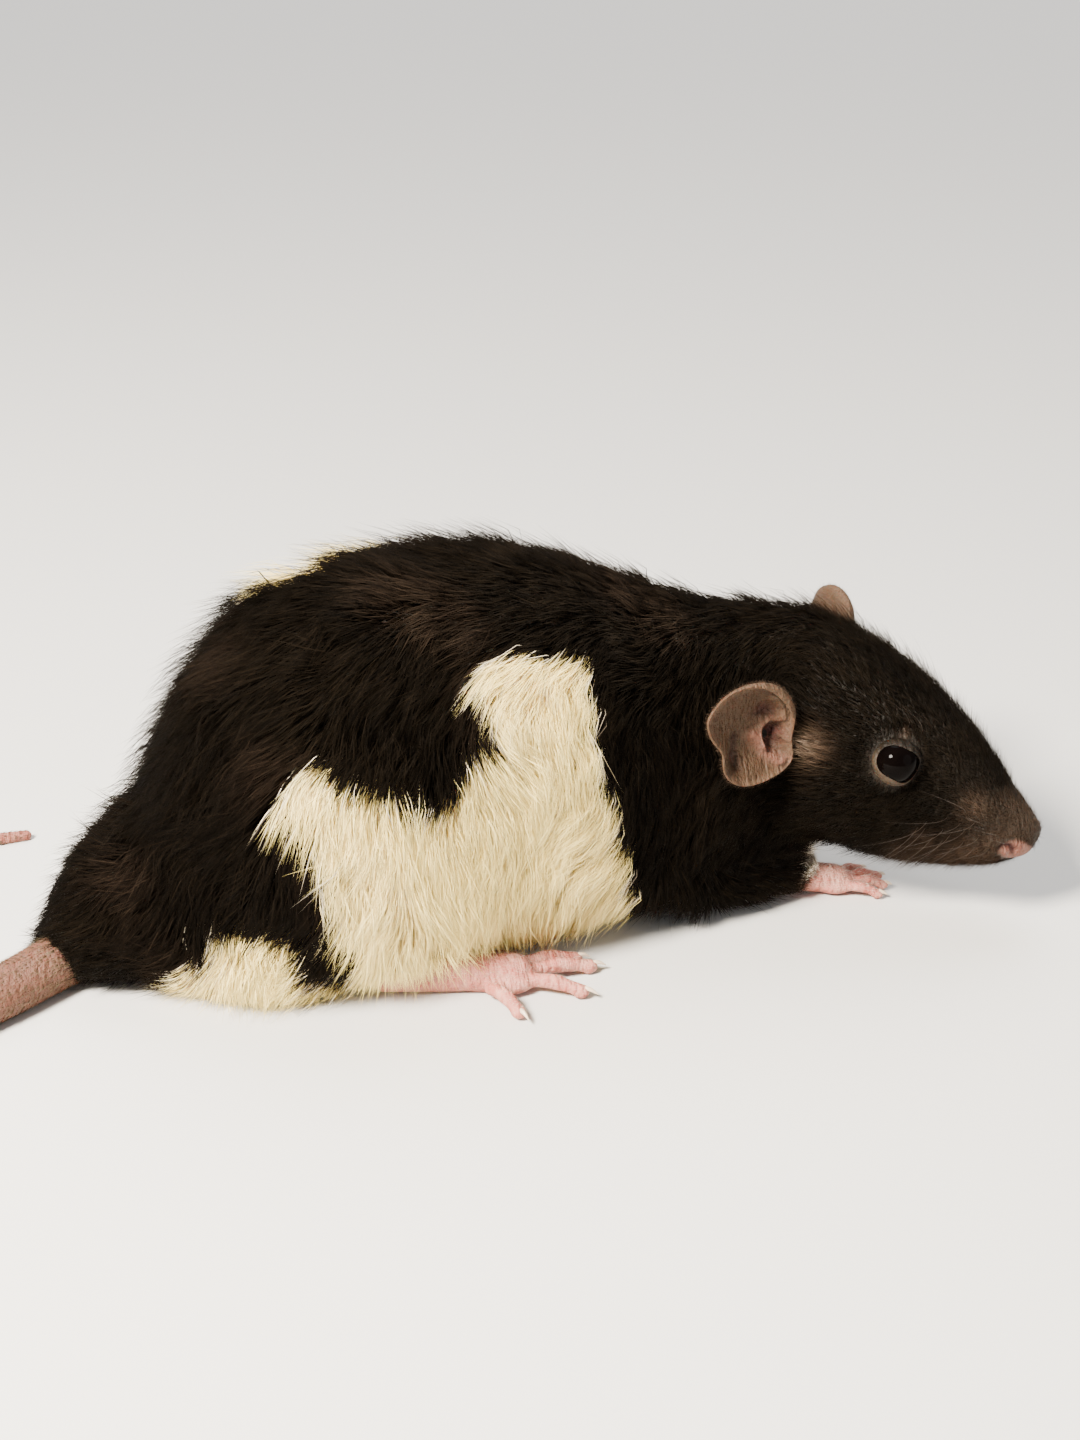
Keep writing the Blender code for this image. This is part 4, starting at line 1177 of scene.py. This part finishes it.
def locks(points, size, seed):
    """Numbers each point by the cell of a warped lattice that it lies in."""
    warp = np.column_stack([waves(points, size * 2.5, seed + k) for k in range(3)])
    cells = np.floor((points + 0.5 * size * warp) / size).astype(int)
    return np.unique(cells, axis=0, return_inverse=True)[1].reshape(-1)


def gathered(tips, number, pull):
    """Draws each tip towards the middle of the tips of its lock."""
    middle = np.column_stack([np.bincount(number, tips[:, k]) for k in range(3)])
    middle /= np.bincount(number)[:, None]
    return tips + (middle[number] - tips) * pull


def blades(base, middle, tip, outward, width):
    """Three-sided tufts: points as (tufts, 7, 3), or (tufts, 4, 3) where there is no middle."""
    heading = unit(tip - base)
    across = unit(np.cross(heading, outward))
    rise = np.cross(heading, across)
    turn = np.radians([90, 210, 330])[None, :, None]
    ring = (across[:, None] * np.cos(turn) + 0.6 * rise[:, None] * np.sin(turn)) * width[:, None]
    rows = [base[:, None] + ring, tip[:, None]]
    if middle is not None:
        rows.insert(1, middle[:, None] + 0.75 * ring)
    return np.concatenate(rows, axis=1)


mass = locks(roots, MASS, 51)
lock = locks(roots, LOCK, 31)
tuft = locks(roots, SMALL_LOCK, 41)
print("masses, locks and small locks:", [each.max() + 1 for each in (mass, lock, tuft)])

# %% [markdown]
# Every tuft starts along the lie of the coat, then turns aside and lifts a little with its lock. A
# few strays stand out, more of them on the head and rump. Round the eye tufts lean away from it.
# The small hairs before the ear stand up and hide its root.

# %% Tufts
HIGHEST = 71.2  # no hair on the back stands higher above the floor
SUNK = 0.25  # depth of a root in the skin
BEND = 0.45  # share of a tuft's length at which it bends

count = len(roots)
head = head_share(roots)[:, None]
near_eye = ease(eye_gap(roots), LIDS_END, 7.0)[:, None]
length = hair_length(roots)[:, None] * rng.uniform(0.7, 1.12, (count, 1)) * (0.3 + 0.7 * near_eye)
rough = ease(-roots[:, 0], -15, 25)[:, None] * (1 - head)  # the rump's hair is less even
stray = rng.random((count, 1)) < 0.12 + 0.10 * head + 0.05 * rough
length = length * np.where(stray, rng.uniform(1.0, 1.3 + 0.2 * head + 0.2 * rough), 1.0)
way = lie(roots, outward)
from_eyes = np.array([roots - eye_axes(word)[0] for word in SIDES])
nearer = np.linalg.norm(from_eyes, axis=2).argmin(axis=0)
away = from_eyes[nearer, np.arange(count)]
away = unit(away - outward * dot(away, outward))
way = unit(way + away * 1.8 * (1 - near_eye))


def offsets(*sizes):
    """A random offset for each tuft, shared by the tufts of its mass, lock and small lock."""
    numbers = zip((mass, lock, tuft), sizes)
    drawn = sum(size * rng.normal(size=each.max() + 1)[each] for each, size in numbers)
    return drawn[:, None] * (1 - 0.4 * head)


aside, raised = offsets(0.22, 0.24, 0.12), offsets(0.05, 0.10, 0.09)
sideways = np.cross(outward, way) * (aside + rng.normal(0, 0.14, (count, 1)))
before_ear = np.exp(-((mirrored(in_head(roots)) - (3.5, 15, 0)) ** 2).sum(axis=1) / 12)[:, None]
lift = np.where(stray, rng.uniform(0.55, 0.95, (count, 1)), rng.normal(0.52, 0.12, (count, 1)))
lift = lift + raised + 0.1 * head * stray
settle = np.where(stray, 0.25 + 0.2 * head + 0.22 * rough, rng.normal(0.12, 0.10, (count, 1)))
settle = settle + 0.8 * raised
lift, settle = lift + 0.5 * before_ear, settle + 0.4 * before_ear
middle = roots + length * BEND * (way * np.cos(lift) + outward * np.sin(lift) + sideways * 0.5)
tip = middle + length * (1 - BEND) * (way * np.cos(settle) + outward * np.sin(settle) + sideways)
pale_root = pale_share(roots)[:, None]
for number, pull in ((lock, 0.10), (tuft, 0.40)):
    share = pull * (1 - 0.6 * head) * (1 - 0.4 * pale_root)
    share = share * rng.uniform(0.5, 1.1, (count, 1)) * ~stray
    tip = gathered(tip, number, share)
    middle = gathered(middle, number, share * 0.3)
most = COAT_SHARE * hair_length(roots)[:, None] + 2.0 + 0.8 * rough
tip -= outward * np.maximum(dot(tip - roots, outward) - most, 0)
tip[:, 2] = np.minimum(tip[:, 2], HIGHEST - 1.2 * rng.random(count))
for ring in (middle, tip):
    ring[:, 2] = np.maximum(ring[:, 2], 0.12 + 0.3 * rng.random(count))
base = roots - outward * SUNK
base[:, 2] = np.maximum(base[:, 2], 0.2)
paleness = pale_share(0.4 * roots + 0.6 * tip)
width = (0.11 - 0.035 * paleness[:, None] - 0.03 * head) * rng.uniform(0.7, 1.3, (count, 1))
width *= np.clip(length / 5, 0.55, 1) * np.where(stray, 0.78, 1)
print("tufts are", length.mean().round(1), "mm long on average")

# %% [markdown]
# Each tuft has one colour, from numbers that are marked on its points, so an edge of a marking is
# as ragged as it is in real fur. A tuft is darker towards its root, which is painted shade deep in
# the coat. The hairs at the edge of a cream patch are whiter than those inside it, where light
# that goes from hair to hair warms them.

# %% Fur finish
fur = Finish("fur", 0.65, Specular_IOR_Level=0.03)
# A low tone gives the darker colours: partly the hairs' own, and towards the roots painted shade.
tone = fur.marked("tone")
dark = fur.blend(tone, DARK, BROWN)
tanned = fur.blend(fur.marked("tan"), dark, fur.blend(tone, (0.045, 0.025, 0.015), TAN))
cream = fur.blend(tone, (0.92, 0.70, 0.27), CREAM)
cream = fur.blend(fur.marked("tan"), cream, (0.86, 0.76, 0.62))
fur.set("Base Color", fur.blend(fur.marked("pale"), tanned, cream))
print("the fur's colour follows three marks: tone, tan and pale")

# %% [markdown]
# The tufts are kept in pieces, one behind the other from the nose to the rump, so that none is
# too heavy. Each carries a map named OFBake, in which a tuft is one tiny patch at its root's
# place on the unrolled skin, so that a baked picture of the coat keeps the markings' colours.

# %% Coat pieces
PATCH = 0.003  # width of a tuft's patch on the map
QUADS = {7: [[0, 1, 4, 3], [1, 2, 5, 4], [2, 0, 3, 5]]}
TRIANGLES = {7: [[2, 1, 0], [3, 4, 6], [4, 5, 6], [5, 3, 6]],
             4: [[2, 1, 0], [0, 1, 3], [1, 2, 3], [2, 0, 3]]}
ALONG = {7: [0, 0, 0, BEND, BEND, BEND, 1], 4: [0, 0, 0, 1]}


def coat_piece(name, points, unrolled, tone, pale, tan):
    """Tufts as one piece. Unrolled holds two numbers for each root, its place on the skin."""
    count, size = points.shape[:2]
    start = np.arange(count)[:, None, None] * size
    faces = [(np.array(form[size]) + start).reshape(-1, len(form[size][0]))
             for form in (QUADS, TRIANGLES) if size in form]
    mesh = mesh_of(name, points.reshape(-1, 3), faces)
    along = np.tile(ALONG[size], count)
    # The tone falls towards the root, which is painted shade deep in the coat.
    mark(mesh, pale=np.repeat(pale, size), tan=np.repeat(tan, size),
         tone=np.clip(np.repeat(tone, size) * (0.5 + 0.6 * along), 0, 1))
    low, high = unrolled.min(axis=0), unrolled.max(axis=0)
    patch = 0.01 + 0.98 * (unrolled - low) / (high - low + 1e-6)
    patch = np.repeat(patch, size, axis=0)
    patch[:, 0] += (np.tile(([-1, 0, 1] * 3)[:size - 1] + [0], count)) * PATCH / 2
    patch[:, 1] += (along - 0.5) * PATCH
    corner = np.concatenate([each.ravel() for each in faces])
    layer = mesh.uv_layers.new(name="OFBake")
    layer.uv.foreach_set("vector", patch[corner].astype(np.float32).ravel())
    return piece(mesh, fur.material, "coat")


print("a tuft's patch on the map is", PATCH, "wide")

# %% [markdown]
# Most hairs of the dark coat are nearly black and a few are brown, so their tones are drawn from
# a skewed distribution, and broad waves make some places browner. The roots are sorted from the
# nose to the rump, and cut into pieces of equal weight.

# %% The coat from nose to rump
seen = in_head(roots)
onward = roots[:, 0] + head[:, 0] * seen[:, 0]
round_head = np.degrees(np.arctan2(-seen[:, 1], seen[:, 2]))
unrolled = np.column_stack([onward, girth(roots) * (1 - head[:, 0]) + round_head * head[:, 0]])
on_arm = arm_share(roots) > 0.5
unrolled[on_arm, 1] = 190 + 3 * roots[on_arm, 2] * np.sign(roots[on_arm, 1])
browned = 0.5 + 0.5 * ease(waves(roots, 14, 22) + 0.4 * waves(roots, 5, 23), -0.8, 1.1)
tones = rng.beta(1.3, 2.0, count) * browned + 0.35 * (rng.random(count) < 0.05 + 0.2 * stray[:, 0])
pale = ease(paleness + 0.4 * (rng.random(count) - 0.5), 0.4, 0.6)
tones = np.clip(np.where(pale > 0.5, rng.beta(3, 1.6, count), tones), 0, 1)
pale = np.clip(pale + 0.16 * before_ear[:, 0] ** 2 * rng.random(count), 0, 1)
tan = np.clip(tan_share(0.5 * (roots + tip)) * rng.uniform(0.15, 1.35, count)
              + 0.4 * before_ear[:, 0]
              + 0.85 * (pale > 0.1) * (1 - ease(paleness, 0.6, 0.98)), 0, 1)
order = np.argsort(-onward)
for prefix, zone, names in (("coat_", is_short, ("face",)),
                            ("coat_", ~is_short, ("cheeks", "nape", "shoulders", "back", "loins",
                                                  "haunches", "rump"))):
    for name, chosen in zip(names, np.array_split(order[zone[order]], len(names))):
        form = blades(base[chosen], None if name == "face" else middle[chosen], tip[chosen],
                      outward[chosen], width[chosen])
        coat_piece(prefix + name, form, unrolled[chosen], tones[chosen], pale[chosen], tan[chosen])

# %% [markdown]
# ## Fine hairs
#
# The bare parts have fine hairs too. They are straight tufts of four triangles, and where a great
# many lie on thin skin, as on an ear, they are what gives it a soft edge.

# %% Fine hairs
EAR_HAIRS, EAR_ROOT_HAIRS, FOOT_HAIRS, BRISTLES = 2600, 1800, 1500, 11_000


def fine_hairs(name, roots, outward, way, length, unrolled, *, width, rise, pale, tan, tone):
    """Straight tufts that lean along a way and rise from the skin by an angle in radians."""
    way = unit(way - outward * dot(way, outward))
    tips = roots + length[:, None] * (way * math.cos(rise) + outward * math.sin(rise))
    tips[:, 2] = np.maximum(tips[:, 2], 0.1)
    wide = np.full((len(roots), 1), width)
    form = blades(roots - outward * 0.1, None, tips, outward, wide)
    form[..., 2] = np.maximum(form[..., 2], 0.01)
    ones = np.ones(len(roots))
    return coat_piece(name, form, unrolled, tone * ones, pale * ones, tan * ones)


print("bristles on the tail:", BRISTLES)

# %% [markdown]
# An ear's hairs are short and stand out from its root. They are close on its edge and on the
# ridge round its pit, and few inside it.

# %% Hairs on the ears
parts = []
for word in SIDES:
    mesh = mesh_of("ear", *ears[word][:2])
    normals, corners = facing(mesh), triangles_of(mesh)
    edge = ears[word][2]["edge"][corners].mean(axis=1)
    behind = corners.mean(axis=1) > len(mesh.vertices) / 2
    ridged = ears[word][2]["rosy"][corners].mean(axis=1)
    weight = 0.1 + 0.2 * behind + edge + 0.6 * ridged
    spots, out = sown(places(mesh), normals, corners, weight, EAR_HAIRS)
    centre = from_head(on_side(EAR_ROOT, SIDES[word])[None])
    flat = (in_head(spots) - on_side(EAR_ROOT, SIDES[word])) @ ear_axes(word).T
    parts.append((spots, out, spots - centre, flat[:, 1:] + [40.0 * SIDES[word], 0]))
    bpy.data.meshes.remove(mesh)
roots_on_ears, out, way, flat = (np.concatenate(each) for each in zip(*parts))
lengths = rng.uniform(0.5, 1.2, len(out))
fine_hairs("hair_ears", roots_on_ears, out, way, lengths, flat,
           width=0.025, rise=0.5, pale=0.0, tan=0.6, tone=0.5)

# %% [markdown]
# The body's fur goes on round each ear's root and up its back, so longer dark hairs grow on the
# stalk there, except on the side that the ear looks to.

# %% Hairs at the ears' roots
parts = []
for word in SIDES:
    mesh = mesh_of("stalk", *stalks[word])
    normals, corners = facing(mesh), triangles_of(mesh)
    look, _, to_tip = ear_axes(word) @ HEAD_AXES.T
    behind = normals[corners].mean(axis=1) @ look < 0.1
    spots, out = sown(places(mesh), normals, corners, behind, EAR_ROOT_HAIRS)
    parts.append((spots, out, out * 0.4 + to_tip, spots[:, 1:] + [60.0 * SIDES[word], 0]))
    bpy.data.meshes.remove(mesh)
roots_on_stalks, out, way, flat = (np.concatenate(each) for each in zip(*parts))
way = way + 0.35 * rng.normal(size=way.shape)
lengths = rng.uniform(1.4, 2.8, len(out))
fine_hairs("hair_ear_roots", roots_on_stalks, out, way, lengths, flat,
           width=0.07, rise=0.45, pale=0.0, tan=0.05, tone=0.4)

# %% [markdown]
# White hairs lie forward over the toes and fingers. None grow on the soles.

# %% Hairs on the feet and hands
parts = []
for number, mesh in enumerate(feet):
    normals, corners = facing(mesh), triangles_of(mesh)
    up = normals[corners].mean(axis=1)[:, 2]
    spots, out = sown(places(mesh), normals, corners, ease(up, -0.4, 0.3), FOOT_HAIRS)
    parts.append((spots, out, spots[:, :2] + [300.0 * (number // 2), 0]))
roots_on_feet, out, flat = (np.concatenate(each) for each in zip(*parts))
way = np.tile([1.0, 0, -0.15], (len(out), 1)) + 0.25 * rng.normal(size=(len(out), 3))
lengths = rng.uniform(0.6, 1.5, len(out))
fine_hairs("hair_feet", roots_on_feet, out, way, lengths, flat,
           width=0.022, rise=0.3, pale=0.95, tan=1.0, tone=0.9)

# %% [markdown]
# The tail's bristles come out from under each ring of scales and lie towards the tip. At the root
# they are long, so that the coat seems to end gradually.

# %% Bristles on the tail
at = rng.uniform(0.0, 0.99, BRISTLES) ** 1.15 * tail_knots[-1]
at = (np.floor(at / TAIL_RING) + 0.85) * TAIL_RING
spot_angle = rng.uniform(0, 2 * np.pi, BRISTLES)
line = smooth_between(tail_knots, tail_middle, at)
ahead = unit(smooth_between(tail_knots, tail_middle, at + 0.5) - line)
side_way = unit(np.cross([0.0, 0.0, 1.0], ahead))
up_way = np.cross(ahead, side_way)
out = side_way * np.cos(spot_angle)[:, None] + up_way * np.sin(spot_angle)[:, None]
spots = line + out * (smooth_between(tail_knots, tail_radii, at) - 0.12)[:, None]
lengths = np.interp(at, (0, 12, 40, 300), (4.0, 2.6, 2.0, 1.4)) * rng.uniform(0.6, 1.2, BRISTLES)
fine_hairs("hair_tail", spots, out, ahead, lengths, np.column_stack([at, np.degrees(spot_angle)]),
           width=0.045, rise=0.2, pale=0.1, tan=0.35, tone=0.5)

# %% [markdown]
# ## Whiskers
#
# Whiskers grow from rows on the whisker pads, the hindmost ones the longest. Each is a very thin
# cone along a curve that sweeps out, back and a little down: root + s a + s^2 b, as s runs from
# 0 to 1. A few more grow over the eyes.

# %% Whiskers
WHISKER_ROWS = ((40.5, 5.0, -1.6), (38.5, 6.4, -3.2), (36.5, 7.6, -5.0), (34.0, 8.2, -6.8))
IN_A_ROW = 5
WHISKER_RADIUS, BROW_RADIUS = 0.033, 0.035
BROW_HAIRS = ((16.5, 10.5), (19.0, 10.8))


def whisker(root, out, length, lift, radius):
    """A cone of five sides along a curve that leaves the face and sweeps back."""
    side = np.sign(out[1])
    first = length * unit(np.array([-0.10, 0.95 * side, lift]))
    bend = length * np.array([-0.45, -0.10 * side, -0.18])
    s = np.linspace(0, 1, 14)[:, None]
    path = from_head(root + s * first + s**2 * bend)
    path[:, 2] = np.maximum(path[:, 2], 0.15)
    return tube(path, radius * (1 - 0.86 * s[:, 0]), 5, rounded=False)


hairs = []
body_seen = in_head(body_points)
for side in (1, -1):
    for row, (x, y, z) in enumerate(WHISKER_ROWS):
        for place in range(IN_A_ROW):
            aim = np.array([x - 2.1 * place, (y + 0.2 * place) * side, z + 0.25 * place])
            aim += rng.normal(0, 0.25, 3)
            nearest = body_seen[np.linalg.norm(body_seen - aim, axis=1).argmin()]
            length = (8 + 2.6 * place) * rng.uniform(0.8, 1.15)
            lift = 0.45 - 0.30 * row + rng.normal(0, 0.13)
            hairs.append(whisker(nearest, nearest * [0, 1, 0], length, lift,
                                 WHISKER_RADIUS))
    for x, z in BROW_HAIRS:
        aim = np.array([x, 9.5 * side, z])
        nearest = body_seen[np.linalg.norm(body_seen - aim, axis=1).argmin()]
        hairs.append(whisker(nearest, nearest * [0, 1, 0], 11, 0.9, BROW_RADIUS))
whisker_finish = Finish("whisker", 0.35)
whisker_finish.set("Base Color", whisker_finish.blend(
    whisker_finish.noise(60, 2), (0.02, 0.013, 0.010), (0.11, 0.08, 0.06)))
piece(mesh_of("whiskers", *together(hairs)), whisker_finish.material, "coat")

# %% [markdown]
# ## Floor, light and camera
#
# The picture was taken from about 0.34 m away, looking 25 degrees down at the animal's right
# side, with its spine turned 14 degrees. A 50 mm lens on a 36 mm frame gives the same field.

# %% Camera
VIEW_TURN = math.radians(-14.0)
VIEW_DROP = math.radians(25.0)
DISTANCE = 344.0
LOOK_AT = np.array([0.0, -6.5, 38.0])


def from_picture(points):
    """Places in the picture's frame, whose Y runs away from the camera, in the animal's."""
    c, s = math.cos(VIEW_TURN), math.sin(VIEW_TURN)
    return np.asarray(points) @ np.array([[c, -s, 0], [s, c, 0], [0, 0, 1]]).T


camera_data = bpy.data.cameras.new("camera")
camera_data.lens = 50
camera_data.sensor_width = 36
camera_data.clip_start = 0.01
camera = bpy.data.objects.new("camera", camera_data)
offset = DISTANCE * np.array([0, -math.cos(VIEW_DROP), math.sin(VIEW_DROP)])
camera.location = to_frame(from_picture(LOOK_AT + offset))
camera.rotation_euler = (math.pi / 2 - VIEW_DROP, 0, VIEW_TURN)
bpy.context.scene.collection.objects.link(camera)
bpy.context.scene.camera = camera
print("the camera stands", DISTANCE, "mm away")

# %% [markdown]
# The floor is pale and dull. One warm light stands to the front and left, a weak one to the right
# and a wide one far above. Point lights with a large radius are soft and have no edge behind.

# %% Floor and lights
HALF = 4  # half the floor's width in metres

floor_mesh = bpy.data.meshes.new("floor")
floor_mesh.from_pydata([(-HALF, -HALF, 0), (HALF, -HALF, 0), (HALF, HALF, 0), (-HALF, HALF, 0)],
                       [], [(0, 1, 2, 3)])
floor = bpy.data.objects.new("floor", floor_mesh)
bpy.context.scene.collection.objects.link(floor)
floor_finish = Finish("pale floor", 0.8)
floor_finish.set("Base Color", (0.62, 0.60, 0.57, 1))
floor_mesh.materials.append(floor_finish.material)


def lamp(name, place, width, power, colour=(1, 1, 1)):
    """A soft ball of light, this many metres wide, of this many watts, in the picture's frame."""
    data = bpy.data.lights.new(name, "POINT")
    data.shadow_soft_size = width / 2
    data.energy = power
    data.color = colour
    obj = bpy.data.objects.new(name, data)
    obj.location = to_frame(from_picture(place))
    bpy.context.scene.collection.objects.link(obj)
    return obj


lamp("key", (-300, -330, 460), 0.18, 105.0, (1.0, 0.93, 0.82))
lamp("fill", (560, -380, 260), 0.6, 4.8)
lamp("top", (0, 2400, 4200), 4.0, 1250.0)
world = bpy.data.worlds.new("studio")
world.use_nodes = True
world.node_tree.nodes["Background"].inputs["Color"].default_value = (0.96, 0.97, 1.0, 1)
world.node_tree.nodes["Background"].inputs["Strength"].default_value = 0.45
bpy.context.scene.world = world

# %% [markdown]
# The scene is complete.

# %% The end
print("done")
